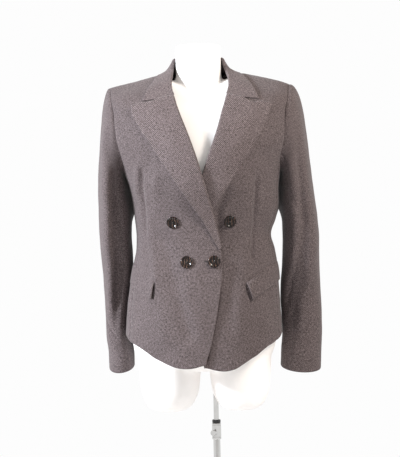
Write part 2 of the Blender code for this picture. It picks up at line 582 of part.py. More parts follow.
# ---------------------------------------------------------------- the sleeves
def armhole_loop(angle, side):
    """Points of the armhole's edge, the outward direction there and the way into the sleeve."""
    angle = np.asarray(angle, float)
    turn, row = armhole_edge(angle)
    ahead_turn, ahead_row = armhole_edge(np.minimum(angle + 1, 360))
    behind_turn, behind_row = armhole_edge(np.maximum(angle - 1, 0))
    points = torso(turn * side, row)
    ahead = torso(ahead_turn * side, ahead_row)
    behind = torso(behind_turn * side, behind_row)
    normal = torso_normal(turn * side, row)
    into = unit(np.cross(normal, ahead - behind)) * side
    return points, normal, into


def sleeve_ring(height, angle, side):
    """Points of a sleeve's level ring at this height."""
    table = SLEEVES[side]
    keys = [-ring.height for ring in table]
    at = np.interp(-np.asarray(height, float), keys, np.arange(len(keys)))
    _, near, far, middle, depth, fold, where = np.moveaxis(through(table, at), -1, 0)
    radians = np.radians(angle)
    gap = (np.asarray(angle) - where + 180) % 360 - 180
    press = 1 - fold / ((far - near) / 2) * np.exp(-((gap / 24.0) ** 2)) * 1.25
    x = (near + far) / 2 + (far - near) / 2 * np.cos(radians) * press
    y = middle - depth * np.sin(radians) * press
    dip = CUFF_DIP * np.abs(np.sin(radians)) * smooth_step(-0.90, -0.80, -np.asarray(height))
    return np.stack([x * side, y, height - dip + 0 * x], axis=-1)


def sleeve_surface(angle, step, side):
    """Points of a sleeve: step 0 to 1 is its head, from the armhole down to the first ring, and the
    rest runs down the arm."""
    angle, step = np.broadcast_arrays(np.asarray(angle, float), np.asarray(step, float))
    start, _, into = armhole_loop(np.mod(angle, 360), side)
    start = start + into * SEAM
    top = SLEEVES[side][0].height
    ring = sleeve_ring(np.full(angle.shape, top), angle, side)
    over = (1 + np.cos(np.radians(angle))) / 2  # 1 at the shoulder tip, 0 under the arm
    reach = 0.006 + (CAP_REACH[side] - 0.006) * over
    first = start + np.stack([side * reach, 0 * reach, -0.10 * reach], axis=-1)
    climb = 0.45 * (start[..., 2] - top)
    last = ring + np.stack([side * CAP_LEAN[side] * over, 0 * climb, climb], axis=-1)
    t = np.clip(step, 0, 1)[..., None]
    head = (1 - t) ** 3 * start + 3 * t * (1 - t) ** 2 * first + 3 * t**2 * (1 - t) * last + t**3 * ring
    foot = SLEEVES[side][-1].height
    arm = sleeve_ring(top + (foot - top) * np.clip(step - 1, 0, 1), angle, side)
    return np.where(step[..., None] <= 1, head, arm)


def make_sleeve(side, collection):
    """A two-piece sleeve: the top sleeve and, towards the body, the under sleeve."""
    head = np.linspace(0, 1, SLEEVE_CAP_STEPS + 1)
    arm = np.linspace(1, 2, SLEEVE_STEPS + 1)
    steps = np.concatenate([head, arm[1:]])
    each = 360 / SLEEVE_SIDES
    pieces = {
        "sleeve_under": np.arange(SLEEVE_SEAMS[0], SLEEVE_SEAMS[1] + 0.1, each),
        "sleeve_top": np.arange(SLEEVE_SEAMS[1], SLEEVE_SEAMS[0] + 360.1, each),
    }
    for piece, angles in pieces.items():
        angles = angles.astype(float)
        grid_angle, grid_step = np.meshgrid(angles, steps)
        grid_angle[:, 0] += 0.28
        grid_angle[:, -1] -= 0.28
        outer = sleeve_surface(grid_angle, grid_step, side)
        nudge = 0.01
        low_step = np.where(grid_step > nudge, grid_step - nudge, grid_step)
        round_arm = sleeve_surface(grid_angle + 1, grid_step, side)
        round_arm = round_arm - sleeve_surface(grid_angle - 1, grid_step, side)
        down_arm = sleeve_surface(grid_angle, grid_step + nudge, side)
        down_arm = down_arm - sleeve_surface(grid_angle, low_step, side)
        normal = unit(np.cross(round_arm, down_arm)) * side
        # At the armhole the wall is level with the body's, so that the two edges meet face to face.
        points, _, into = armhole_loop(np.mod(grid_angle[0], 360), side)
        towards = np.array([side * 0.175, 0.008, 1.285]) - points
        towards -= into * np.sum(towards * into, axis=-1, keepdims=True)
        normal[0] = -unit(towards)
        name = sided(piece, side)
        wall(name, outer, outer - normal * CLOTH, collection)


# ---------------------------------------------------------------- lapels and collar
def make_lapel(side, collection):
    """A peak lapel: the front's edge turned over at the fold line, lying on the front."""
    share = np.linspace(0, 1, LAPEL_ROWS + 1)
    level = np.zeros(LAPEL_ROWS + 1)
    fold_height = BREAK_HEIGHT + (GORGE_HEIGHT - BREAK_HEIGHT) * share
    fold_reach = front_edge_reach(fold_height, side)
    first, last = LAPEL_EDGE[side][0].height, LAPEL_EDGE[side][-1].height
    edge_height = first + (last - first) * share
    edge_reach = read(LAPEL_EDGE[side], "reach", "height", edge_height)
    width = np.hypot(edge_reach - fold_reach, edge_height - fold_height)
    soft = LAPEL_SOFTNESS[side] * smooth_step(*LAPEL_SOFT_HEIGHTS[side], fold_height)
    radius = (ROLL_FOLD + soft) / 2
    edge_lift = ROLL_FOLD + LAPEL_EDGE_LIFT[side] * smooth_step(*LAPEL_SOFT_HEIGHTS[side], fold_height)
    # The section across the lapel as distances from the fold line, and heights above the panel's
    # middle, with the section's own outward direction.
    along, lift, out_along, out_lift = [], [], [], []
    for angle in np.radians(np.linspace(-90, 90, LAPEL_FOLD_POINTS)):
        along.append(-radius * math.cos(angle) - LAPEL_GAP)
        lift.append(radius + radius * math.sin(angle))
        out_along.append(level - math.cos(angle))
        out_lift.append(level + math.sin(angle))
    for f in np.linspace(0, 1, LAPEL_FLAT_POINTS + 1)[1:]:
        along.append(width * f)
        lift.append(2 * radius + (edge_lift - 2 * radius) * smooth_step(0, 1, f))
        out_along.append(level)
        out_lift.append(level + 1)
    along, lift, out_along, out_lift = (
        np.stack(part, axis=1) for part in (along, lift, out_along, out_lift)
    )

    def grid(offset):
        d = (along + out_along * offset) / width[:, None]
        reach = fold_reach[:, None] + (edge_reach - fold_reach)[:, None] * d
        height = fold_height[:, None] + (edge_height - fold_height)[:, None] * d
        height += LAPEL_TOP_ARCH[side] * (share[:, None] ** 6) * 4 * d * (1 - d)
        return on_front(reach * side, height, side, lift + out_lift * offset - CLOTH / 2)

    return wall(sided("lapel", side), grid(CLOTH / 2), grid(-CLOTH / 2), collection)


def collar_points(place_along, side):
    """The middle of the collar's cloth across one station: stand, fold, fall."""
    table = [(*station.neck, *station.fold, *station.edge, station.belly) for station in COLLAR]
    at = np.interp(place_along, [station.place for station in COLLAR], np.arange(len(COLLAR)))
    row = through(table, at)
    face = BACK_FACE if place_along < SHOULDER_PLACE else FRONT_FACE
    aside = COLLAR_ASIDE[side] * smooth_step(0.50, 0.84, place_along)
    bridge = COLLAR_BRIDGE * math.exp(-(((place_along - SHOULDER_PLACE) / 0.13) ** 2))
    ends = []
    for reach, height in (row[0:2], row[5:7]):
        turn, line = place((reach + aside) * side, height, face)
        point = torso(turn, line)
        lift = CLOTH / 2 + COLLAR_SEAT + bridge + lap_lift(point, side)
        ends.append(point + torso_normal(turn, line) * lift)
    neck, edge = ends
    fold = np.array([(row[2] + aside) * side, row[3], row[4]])
    up = unit(fold - neck)
    out = edge - neck
    out = unit(out - up * np.dot(out, up))
    centre = fold - up * COLLAR_FOLD
    points = [neck, neck + (centre - out * COLLAR_FOLD - neck) * 0.5]
    for angle in np.radians([180, 135, 90, 45, 0]):
        points.append(centre + COLLAR_FOLD * (math.cos(angle) * out + math.sin(angle) * up))
    start = points[-1]
    belly = row[7] * unit(out + up)
    for f in (0.25, 0.5, 0.75, 1.0):
        points.append(start + (edge - start) * f + belly * 4 * f * (1 - f))
    return np.array(points)


def make_collar(collection):
    places = np.linspace(-1, 1, 2 * COLLAR_STEPS + 1)
    middle = np.array([collar_points(abs(at), LEFT if at >= 0 else RIGHT) for at in places])
    across = np.gradient(middle, axis=1)
    along = np.gradient(middle, axis=0)
    normal = unit(np.cross(along, across))
    return wall("collar", middle + normal * CLOTH / 2, middle - normal * CLOTH / 2, collection)


# ---------------------------------------------------------------- pockets and buttons
def flat_on_body(turns, heights, side, lift):
    """Points over a body panel at these turns and heights."""
    rows_all = np.linspace(0, RIDGE, 40 * RIDGE + 1)
    rows = np.interp(heights, through(TORSO, rows_all)[:, 0], rows_all)
    points, normal = torso(turns * side, rows), torso_normal(turns * side, rows)
    rise = lap_lift(points, side) - valley_depth(points, side) + lift
    return points + normal * rise[..., None]


def make_flap(side, collection):
    """A slanting pocket flap: sewn in along its top, a little proud along its foot."""
    flap = FLAPS[side]
    across, up = np.meshgrid(np.linspace(0, 1, 10), np.linspace(0, 1, 5))
    top_turn, foot_turn = (abs(place(*corner)[0]) for corner in (flap.top, flap.foot))
    first = foot_turn + (top_turn - foot_turn) * up
    turns = first + (FLAP_END - first) * across
    # Seen from the front the flap's long edges are straight.
    share = (np.sin(np.radians(turns)) - np.sin(np.radians(first))) / (1 - np.sin(np.radians(first)))
    heights = (flap.foot[1] + (flap.foot_end - flap.foot[1]) * share) * (1 - up)
    heights += (flap.top[1] + (flap.top_end - flap.top[1]) * share) * up
    lift = SEAM + flap.stand * (1 - up) ** 1.5 * (0.4 + 0.6 * across)
    outer = flat_on_body(turns, heights, side, lift + CLOTH)
    inner = flat_on_body(turns, heights, side, lift)
    return wall(sided("flap", side), outer, inner, collection)


def make_welt(collection):
    """The breast pocket's welt, on the wearer's left front, its inner end under the lapel."""
    f, g = np.meshgrid(np.linspace(0, 1, 7), np.linspace(0, 1, 3))
    x = WELT_INNER + (WELT_OUTER - WELT_INNER) * f - 0.004 * (1 - g)
    z = WELT_TOP - WELT_HEIGHT * (1 - g) + WELT_RISE * f
    outer = on_front(x, z, LEFT, SEAM + WELT_THICK)
    return wall("breast_welt", outer, on_front(x, z, LEFT, SEAM), collection)


def make_button(button, collection, cutters):
    """A four-hole button with a raised rim, turned about its axis and seated on the cloth."""
    r, t = BUTTON_RADIUS, BUTTON_THICK
    profile = [
        (r * 0.60, t * 0.55), (r * 0.78, t * 0.94), (r * 0.90, t), (r, t * 0.66),
        (r * 0.97, t * 0.30), (r * 0.80, 0.0),
    ]
    profile = [(0, t * 0.50), *profile, (0, 0)]
    made = turned(button.name, profile, HORN, collection, 16)
    holes = bmesh.new()
    for quarter in range(4):
        turn = math.radians(45 + 90 * quarter)
        hole = bmesh.ops.create_cone(
            holes, cap_ends=True, segments=6, radius1=HOLE_RADIUS, radius2=HOLE_RADIUS, depth=4 * t
        )
        shift = (HOLE_SPACING * math.cos(turn), HOLE_SPACING * math.sin(turn), 0)
        bmesh.ops.translate(holes, verts=hole["verts"], vec=shift)
    tool = finish_object(button.name + "_holes", holes, HORN, cutters)
    boolean(made, tool, "DIFFERENCE")
    seat = Vector(on_front(np.array(button.x), np.array(button.z), button.side, np.array(BUTTON_SEAT)))
    turn, row = place(button.x, button.z)
    axis = Vector(torso_normal(turn, row))
    frame = axis.to_track_quat("Z", "Y").to_matrix().to_4x4()
    for thing in (made, tool):
        thing.matrix_world = Matrix.Translation(seat) @ frame
    return made


# ---------------------------------------------------------------- the form and its stand
def ellipse(x, y, z, half, front, back, sides=FORM_SIDES):
    """One level ring: half as wide each side, with its own depth to the front and to the back."""
    turns = np.arange(sides) * math.tau / sides
    cosine = np.cos(turns)
    depth = np.where(cosine > 0, front, back)
    return np.stack([x + half * np.sin(turns), y - depth * cosine, np.full(sides, z)], axis=-1)


def form_ring(form):
    """One ring of the dress form, with its own height ahead, beside and behind."""
    ring = ellipse(0, form.middle, form.beside, form.half, form.front, form.back)
    cosine = np.cos(np.arange(FORM_SIDES) * math.tau / FORM_SIDES)
    end = np.where(cosine > 0, form.ahead, form.behind)
    ring[:, 2] += (end - form.beside) * cosine**2
    return ring


def make_form(collection, cutters):
    form = loft("dress_form", [form_ring(row) for row in FORM], FORM_SHELL, collection)
    for side in (LEFT, RIGHT):
        rings = [ellipse(side * s.middle, 0.004, s.height, s.half, s.depth, s.depth, 20) for s in STUB]
        stub = loft(f"stub_{side}", rings, FORM_SHELL, cutters)
        boolean(form, stub, "UNION")
    bore = cylinder("socket_bore", POLE_RADIUS + RUNNING, 0.60, SOCKET_DEPTH_TOP, FORM_SHELL, cutters)
    boolean(form, bore, "DIFFERENCE")
    return form


def make_pole(collection):
    """The upper pole, which slides in the tube and turns in the form's socket."""
    return cylinder("pole", POLE_RADIUS, POLE_FOOT, POLE_TOP, CHROME, collection)


def make_tube(collection, cutters):
    """The lower tube, and the black ring that lies on its mouth."""
    bore = cylinder("tube_bore", POLE_RADIUS + RUNNING, TUBE_BORE_FOOT, 0.80, CHROME, cutters)
    tube = cylinder("stand_tube", TUBE_RADIUS, BASE_THICK + SEAM, TUBE_TOP, CHROME, collection)
    boolean(tube, bore, "DIFFERENCE")
    low = TUBE_TOP + SEAM
    ring = cylinder("clamp_ring", RING_RADIUS, low, low + RING_HEIGHT, BLACK_PLASTIC, collection)
    boolean(ring, bore, "DIFFERENCE")


def make_clamp(collection, cutters):
    """The clamp round the top of the tube."""
    top = TUBE_TOP - 0.0005
    low = top - COLLAR_CLAMP_HEIGHT
    clamp = cylinder("clamp_collar", COLLAR_CLAMP_RADIUS, low, top, CHROME, collection)
    bore = cylinder("clamp_bore", TUBE_RADIUS + SEAM, 0.50, 0.80, CHROME, cutters)
    boolean(clamp, bore, "DIFFERENCE")


def make_knob(collection):
    """The clamp's knob: a short stem and a round head."""
    low = COLLAR_CLAMP_RADIUS + SEAM
    end = low + KNOB_LENGTH
    profile = [
        (0, low), (0.0026, low), (0.0026, low + 0.004), (KNOB_RADIUS * 0.92, low + 0.0045),
        (KNOB_RADIUS, low + 0.0060), (KNOB_RADIUS, end - 0.0015), (KNOB_RADIUS * 0.8, end), (0, end),
    ]
    made = turned("clamp_knob", profile, CHROME, collection, 16)
    facing = Matrix.Rotation(math.radians(KNOB_TURN), 4, "Z") @ Matrix.Rotation(math.radians(90), 4, "X")
    made.matrix_world = Matrix.Translation(POLE_AXIS + Vector((0, 0, KNOB_HEIGHT))) @ facing


def make_base(collection):
    """The round foot plate, thinner towards its rim."""
    profile = [
        (0, BASE_THICK), (0.014, BASE_THICK), (BASE_RADIUS - 0.012, BASE_THICK * 0.8),
        (BASE_RADIUS - 0.003, BASE_THICK * 0.6), (BASE_RADIUS, 0.003), (BASE_RADIUS - 0.001, 0.0), (0, 0),
    ]
    made = turned("base_plate", profile, CHROME, collection, 36)
    made.location = POLE_AXIS


# ---------------------------------------------------------------- the whole object
def new_collection(name):
    made = bpy.data.collections.new(name)
    bpy.context.scene.collection.children.link(made)
    return made


def main():
    for old in list(bpy.data.objects):
        bpy.data.objects.remove(old, do_unlink=True)
    blazer = new_collection("blazer_on_dress_form")
    cutters = new_collection("cutters")
    for side in (LEFT, RIGHT):
        make_front(side, blazer)
        make_side(side, blazer)
        make_back(side, blazer)
        make_sleeve(side, blazer)
        make_lapel(side, blazer)
        make_flap(side, blazer)
    make_collar(blazer)
    make_welt(blazer)
    for button in BUTTONS:
        make_button(button, blazer, cutters)
    make_form(blazer, cutters)
    make_pole(blazer)
    make_tube(blazer, cutters)
    make_clamp(blazer, cutters)
    make_knob(blazer)
    make_base(blazer)


main()
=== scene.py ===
"""The looks of a double-breasted wool blazer on a dress form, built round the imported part."""

import math
from collections import namedtuple

import bmesh
import bpy
import numpy as np
from mathutils import Matrix, Vector


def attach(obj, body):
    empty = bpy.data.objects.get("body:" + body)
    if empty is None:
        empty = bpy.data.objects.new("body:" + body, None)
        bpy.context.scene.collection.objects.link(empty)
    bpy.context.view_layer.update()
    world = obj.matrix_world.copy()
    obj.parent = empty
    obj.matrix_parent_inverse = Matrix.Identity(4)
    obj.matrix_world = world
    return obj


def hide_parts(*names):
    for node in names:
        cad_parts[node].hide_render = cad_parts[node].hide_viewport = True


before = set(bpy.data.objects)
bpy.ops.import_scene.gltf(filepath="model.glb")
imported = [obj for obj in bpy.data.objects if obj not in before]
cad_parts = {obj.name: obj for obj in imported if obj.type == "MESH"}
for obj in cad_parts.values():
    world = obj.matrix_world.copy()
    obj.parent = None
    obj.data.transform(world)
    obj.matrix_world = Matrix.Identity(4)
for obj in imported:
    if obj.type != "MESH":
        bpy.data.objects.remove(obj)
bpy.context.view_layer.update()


# ---- driving sizes, as in the part
def tenths(kind, rows, plain=()):
    """Named rows in metres from rows in tenths of a millimetre; plain columns are taken as they are."""
    return [
        kind(*(number if field in plain else number / 1e4 for field, number in zip(kind._fields, row)))
        for row in rows
    ]


CLOTH = 0.0018  # wool cloth with its fusing
SEAM = 0.0003  # clearance between two pieces at a seam
LAP_LIFT = 0.0053  # how far the upper front's outer face stands off the under front's
ROLL_FOLD = 0.0026  # a pressed fold: cloth middle to cloth middle
BUTTON_RADIUS = 0.0125
BUTTON_THICK = 0.0036
LEFT, RIGHT = 1, -1  # the wearer's sides, as signs of X
FRONT_FACE, BACK_FACE = 1, -1

# The blazer's outer surface, in level rings from below the hem to the shoulder ridge. The last two
# rows are the ridge and the row that mirrors the one before it. "slope" lets a ring fall with |x|.
Section = namedtuple("Section", "height right left middle front back slope")
TORSO = tenths(Section, [
    (7400, 1690, 1690, 0, 1260, 1300, 0), (8000, 1670, 1670, 0, 1250, 1300, 0),
    (8600, 1645, 1645, 0, 1225, 1290, 0), (9300, 1585, 1605, 0, 1170, 1260, 0),
    (10000, 1475, 1570, 0, 1090, 1120, 0), (10350, 1400, 1525, 0, 1060, 1030, 0),
    (10680, 1380, 1445, 0, 1055, 985, 0), (11000, 1400, 1545, 0, 1085, 990, 0),
    (11300, 1430, 1625, 0, 1155, 1020, 0), (11700, 1500, 1635, 0, 1270, 1070, 0),
    (12200, 1690, 1730, 0, 1300, 1130, 0), (12700, 1930, 1940, 0, 1210, 1150, 0),
    (13200, 2010, 2020, 40, 1040, 1080, 0), (13600, 2040, 2050, 80, 800, 950, 500),
    (13950, 2020, 2030, 120, 470, 680, 1400), (14266, 2000, 2030, 150, 0, 0, 2365),
    (13950, 2020, 2030, 120, -470, -680, 1400),
])
RIDGE = len(TORSO) - 2  # the row of the shoulder seams
SQUARENESS = 0.92  # 1 is an ellipse; less is squarer
PAD_RISE = 0.0036  # the left shoulder's padding bows up this much

# The hem's height round the body, dipping at each side of the front's split. Turns are in degrees.
Hem = namedtuple("Hem", "turn height")
HEM = tenths(Hem, [
    (-30, 8060), (0, 8065), (6, 8015), (12, 7990), (18, 8005), (24, 8060), (33, 8170), (43, 8275),
    (54, 8400), (63, 8485), (78, 8600), (92, 8650), (130, 8680), (180, 8660),
], plain=("turn",))

# A front's free edge: the closing edge up to the break of the lapel, then the fold line of the
# lapel, then the neckline. "reach" is towards the piece's own side, so it is negative past centre.
Edge = namedtuple("Edge", "height reach")
CLOSING_EDGE = [
    (8075, -20), (8400, -120), (8780, -205), (9140, -275), (9520, -335), (9850, -378), (10150, -388),
    (10450, -358), (10800, -275), (11200, -180),
]
FRONT_EDGE = {
    RIGHT: tenths(Edge, CLOSING_EDGE + [
        (11700, -45), (12000, 45), (12400, 165), (12800, 305), (13200, 450), (13500, 540), (13730, 600),
        (13900, 625), (14115, 640),
    ]),
    LEFT: tenths(Edge, CLOSING_EDGE + [
        (11700, -30), (12000, 85), (12400, 235), (12800, 385), (13200, 500), (13500, 595), (13730, 655),
        (13900, 680), (14100, 695),
    ]),
}
BREAK_HEIGHT = 1.042  # where the lapel starts to roll
GORGE_HEIGHT = 1.354  # where the lapel's fold meets the collar

# The lapel's outer edge from the break up to the tip of its peak: height, right and left reach.
LAPEL_LINE = [
    (10400, -325, -320), (10600, -217, -200), (10800, -120, -75), (11010, -14, 80), (11210, 110, 222),
    (11400, 230, 345), (11680, 420, 530), (12010, 630, 738), (12225, 775, 877), (12440, 915, 1020),
    (12715, 1094, 1196), (12895, 1212, 1300), (13135, 1338, 1400), (13360, 1380, 1475),
]
LAPEL_EDGE = {
    side: tenths(Edge, [(row[0], row[column]) for row in LAPEL_LINE])
    for side, column in ((RIGHT, 1), (LEFT, 2))
}

# The armhole as (turn, row) of the torso surface, by the sleeve's own angle: 0 at the shoulder tip,
# 90 at the front, 180 under the arm, 270 at the back.
Scye = namedtuple("Scye", "angle turn row")
ARMHOLE = [Scye(22.5 * number, *at) for number, at in enumerate((
    (69, 15), (66.5, 14.25), (63.5, 13.2), (61.6, 12.2), (62.3, 11.25), (66.5, 10.5), (73, 9.97),
    (81, 9.66), (90, 9.57), (99, 9.66), (107, 9.97), (113.5, 10.5), (117.5, 11.25), (118.4, 12.2),
    (116.5, 13.2), (113.5, 14.25), (111, 15),
))]
SIDE_SEAMS = (135.0, 225.0)  # sleeve angles at which the side panel's seams reach the armhole
SLEEVE_SIDES = 32  # points round a sleeve in the part
SLEEVE_SEAMS = (123.75, 247.5)  # sleeve angles of the fore-arm seam and the elbow seam

# Each sleeve below the arm, in level rings: its nearest and furthest reach from the middle of the
# body, its middle and half depth front to back, and how deep its hanging fold is and where.
Ring = namedtuple("Ring", "height near far middle depth fold angle")
SLEEVES = {
    RIGHT: tenths(Ring, [
        (11650, 1550, 2172, 180, 760, 20, 98), (11300, 1485, 2171, 190, 730, 40, 97),
        (11050, 1480, 2168, 170, 720, 50, 97), (10600, 1482, 2160, 200, 690, 60, 95),
        (10000, 1472, 2125, 360, 620, 60, 93), (9400, 1560, 2104, 500, 580, 45, 90),
        (8900, 1597, 2101, 570, 530, 25, 86), (8550, 1575, 2090, 550, 520, 12, 80),
        (8250, 1510, 2052, 500, 510, 4, 80), (7890, 1495, 2042, 460, 500, 0, 80),
    ], plain=("angle",)),
    LEFT: tenths(Ring, [
        (11650, 1675, 2365, 200, 740, 20, 74), (11350, 1665, 2408, 200, 710, 40, 76),
        (11080, 1695, 2437, 180, 690, 50, 77), (10600, 1700, 2465, 160, 640, 55, 80),
        (10000, 1675, 2467, 220, 580, 60, 90), (9400, 1630, 2495, 340, 500, 60, 108),
        (8900, 1650, 2502, 360, 460, 45, 124), (8550, 1655, 2495, 340, 430, 20, 130),
        (8250, 1620, 2474, 300, 410, 6, 130), (7820, 1598, 2449, 260, 390, 0, 130),
    ], plain=("angle",)),
}
CAP_REACH = {RIGHT: 0.016, LEFT: 0.033}  # how far a sleeve head carries on outwards at the shoulder
CAP_LEAN = {RIGHT: -0.003, LEFT: -0.012}  # how far the upper sleeve leans in over its length
CUFF_DIP = 0.009  # the cuff's front and back hang this much below its sides

# Soft valleys in the fronts, from top to foot, with a depth and a half width; below 0 is a ridge.
Valley = namedtuple("Valley", "side top_x top_z foot_x foot_z depth width")
VALLEYS = tenths(Valley, [
    (RIGHT, -1165, 11950, -1125, 11000, 26, 110), (RIGHT, -1125, 11000, -985, 9850, 22, 110),
    (LEFT, 1160, 11950, 1120, 11000, 26, 110), (LEFT, 1120, 11000, 960, 9850, 18, 110),
    (RIGHT, -800, 10700, -640, 9850, 22, 140), (RIGHT, -640, 9850, -300, 8600, 30, 160),
    (LEFT, 600, 10100, 500, 8800, 20, 140), (RIGHT, -1080, 11900, -1040, 10400, -65, 260),
    (RIGHT, -1040, 10400, -920, 8500, -65, 260),
], plain=("side",))

# The collar from the middle of the back (0) to the gorge (1): its neck seam and outer edge on the
# torso surface as reach and height, its fold in space, and how its fall bellies out.
Station = namedtuple(
    "Station", "place neck_reach neck_height fold_x fold_y fold_z edge_reach edge_height belly"
)
COLLAR = tenths(Station, [
    (0, 0, 14020, 0, 665, 14410, 0, 13860, -20), (1400, 250, 14030, 230, 625, 14415, 290, 13870, -25),
    (2800, 460, 14070, 400, 500, 14425, 560, 13915, -25),
    (4200, 590, 14095, 505, 320, 14415, 765, 14005, -30),
    (5500, 640, 14105, 530, 120, 14290, 835, 14045, -30),
    (6600, 645, 14050, 535, -60, 14140, 885, 13985, -10),
    (7700, 630, 13925, 555, -270, 13985, 975, 13855, 5),
    (8800, 608, 13760, 563, -505, 13780, 1078, 13690, 20),
    (10000, 562, 13585, 515, -735, 13580, 1170, 13465, 22),
])
COLLAR_FOLD = 0.0026  # radius of the collar's fold, to the middle of the cloth
COLLAR_SEAT = 0.0010  # how high the collar's two long edges stand off the cloth they lie on
COLLAR_ASIDE = {LEFT: 0.0058, RIGHT: 0.0}  # how far the front of the collar lies to its own side
COLLAR_BRIDGE = 0.0008  # how much higher its edges stand where they cross the shoulder seam
SHOULDER_PLACE = 0.60  # stations nearer the back than this lie on the back

# The underside of the shoulder seams as a line, where the cloth rests on the dress form.
RIDGE_SLOPE = TORSO[RIDGE].slope
RIDGE_INSIDE = TORSO[RIDGE].height - CLOTH / math.cos(math.atan(RIDGE_SLOPE)) - SEAM

# The dress form inside, smooth and clear of the cloth, and one of its two rounded stubs.
# A ring may lie higher at its sides than at its front and back, as under the shoulders.
Form = namedtuple("Form", "ahead beside behind half middle front back")
FORM = [
    *tenths(Form, [
    (7860, 7860, 7860, 900, 0, 450, 560), (7960, 7960, 7960, 1250, 0, 720, 860),
    (8200, 8200, 8200, 1430, 0, 970, 1080), (8600, 8600, 8600, 1520, 0, 1110, 1170),
    (9300, 9300, 9300, 1490, 0, 1070, 1150), (10000, 10000, 10000, 1380, 0, 990, 1020),
    (10680, 10680, 10680, 1300, 0, 960, 900), (11200, 11200, 11200, 1330, 0, 1020, 920),
    (11700, 11700, 11700, 1400, 0, 1150, 970), (12200, 12250, 12220, 1480, 0, 1180, 1020),
    (12620, 12800, 12700, 1560, 30, 1090, 1000), (12940, 13300, 13060, 1600, 80, 960, 940),
    (13160, 13620, 13280, 1590, 120, 840, 850),
    ]),
    Form(1.328, RIDGE_INSIDE - 0.150 * RIDGE_SLOPE - 0.0040, 1.340, 0.1500, 0.014, 0.0740, 0.0770),
    Form(1.341, RIDGE_INSIDE - 0.128 * RIDGE_SLOPE - 0.0009, 1.350, 0.1280, 0.015, 0.0640, 0.0680),
    Form(1.357, RIDGE_INSIDE - 0.104 * RIDGE_SLOPE - 0.0009, 1.363, 0.1040, 0.015, 0.0550, 0.0590),
    Form(1.366, RIDGE_INSIDE - 0.080 * RIDGE_SLOPE - 0.0010, 1.3755, 0.0780, 0.015, 0.0490, 0.0500),
    *tenths(Form, [
    (13680, 13930, 13820, 520, 140, 465, 455), (13900, 14060, 14020, 480, 130, 460, 465),
    (14655, 14655, 14655, 475, 120, 460, 460), (14670, 14670, 14670, 455, 120, 440, 440),
    ]),
]
Stub = namedtuple("Stub", "height middle half depth")
STUB = tenths(Stub, [
    (7000, 745, 150, 160), (7025, 745, 320, 340), (7120, 745, 465, 500), (7280, 740, 550, 600),
    (7450, 738, 605, 660), (8000, 735, 655, 740), (8500, 730, 660, 760),
])

# The stand, on the axis of its pole, behind the stubs.
POLE_AXIS = Vector((0.0215, 0.0560, 0.0))
POLE_RADIUS = 0.0055
POLE_FOOT, POLE_TOP = 0.330, 0.900
SOCKET_TOP, SOCKET_FOOT = POLE_TOP + SEAM, 0.60  # the bore that is cut into the form for the pole
TUBE_RADIUS = 0.0075
TUBE_TOP, TUBE_FLOOR = 0.6640, 0.10
RING_RADIUS, RING_HEIGHT = 0.0090, 0.0070
CLAMP_RADIUS, CLAMP_HEIGHT = 0.0098, 0.034
KNOB_RADIUS, KNOB_LENGTH, KNOB_HEIGHT = 0.0060, 0.0095, 0.6450
KNOB_TURN = -24.0  # degrees by which the knob points to the wearer's right of straight ahead
BASE_RADIUS, BASE_THICK = 0.180, 0.010
RUNNING = 0.0003  # radial clearance of the pole in its tube and socket

# ---- curves and surfaces
def through(rows, at):
    """A smooth curve through rows of numbers, read at row numbers that need not be whole."""
    rows = np.asarray(rows, float)
    at = np.asarray(at, float)
    low = np.clip(np.floor(at).astype(int), 0, len(rows) - 2)
    t = (at - low)[..., None]
    before, here = rows[np.maximum(low - 1, 0)], rows[low]
    there, after = rows[low + 1], rows[np.minimum(low + 2, len(rows) - 1)]
    start, end = (there - before) / 2, (after - here) / 2
    return (
        here
        + start * t
        + (3 * (there - here) - 2 * start - end) * t**2
        + (start + end - 2 * (there - here)) * t**3
    )


def read(table, column, key, at):
    """One column of a table, smoothly, where another column has these values."""
    keys = np.array([getattr(row, key) for row in table], float)
    whole = np.interp(at, keys, np.arange(len(keys)))
    return through([[getattr(row, column)] for row in table], whole)[..., 0]


def torso(turn, row):
    """Points of the blazer's outer surface. turn is 0 at centre front and +90 at the wearer's left."""
    turn, row = np.broadcast_arrays(np.asarray(turn, float), np.asarray(row, float))
    height, right, left, middle, front, back, slope = np.moveaxis(through(TORSO, row), -1, 0)
    sine, cosine = np.sin(np.radians(turn)), np.cos(np.radians(turn))
    half = np.where(sine > 0, left, right)
    x = half * np.sign(sine) * np.abs(sine) ** SQUARENESS
    depth = np.where(cosine > 0, front, back)
    y = middle - depth * np.sign(cosine) * np.abs(cosine) ** SQUARENESS
    pad = smooth_step(0.076, 0.100, x) * (1 - smooth_step(0.165, 0.200, x))
    pad = pad * smooth_step(12.6, 14.8, row)
    return np.stack([x, y, height - slope * np.abs(x) + PAD_RISE * pad], axis=-1)


def unit(vectors):
    return vectors / np.maximum(np.linalg.norm(vectors, axis=-1, keepdims=True), 1e-12)


def torso_normal(turn, row):
    """The outward direction of the torso surface."""
    step = 0.05
    round_body = torso(turn + 20 * step, row) - torso(turn - 20 * step, row)
    upwards = torso(turn, np.minimum(row + step, RIDGE)) - torso(turn, row - step)
    return unit(np.cross(round_body, upwards))


FINE_ROWS = np.linspace(0, RIDGE, 40 * RIDGE + 1)
FINE_HEIGHTS = through(TORSO, FINE_ROWS)[:, 0]


def row_at_height(height):
    """The torso row at this height in the middle of the body."""
    return np.interp(height, FINE_HEIGHTS, FINE_ROWS)


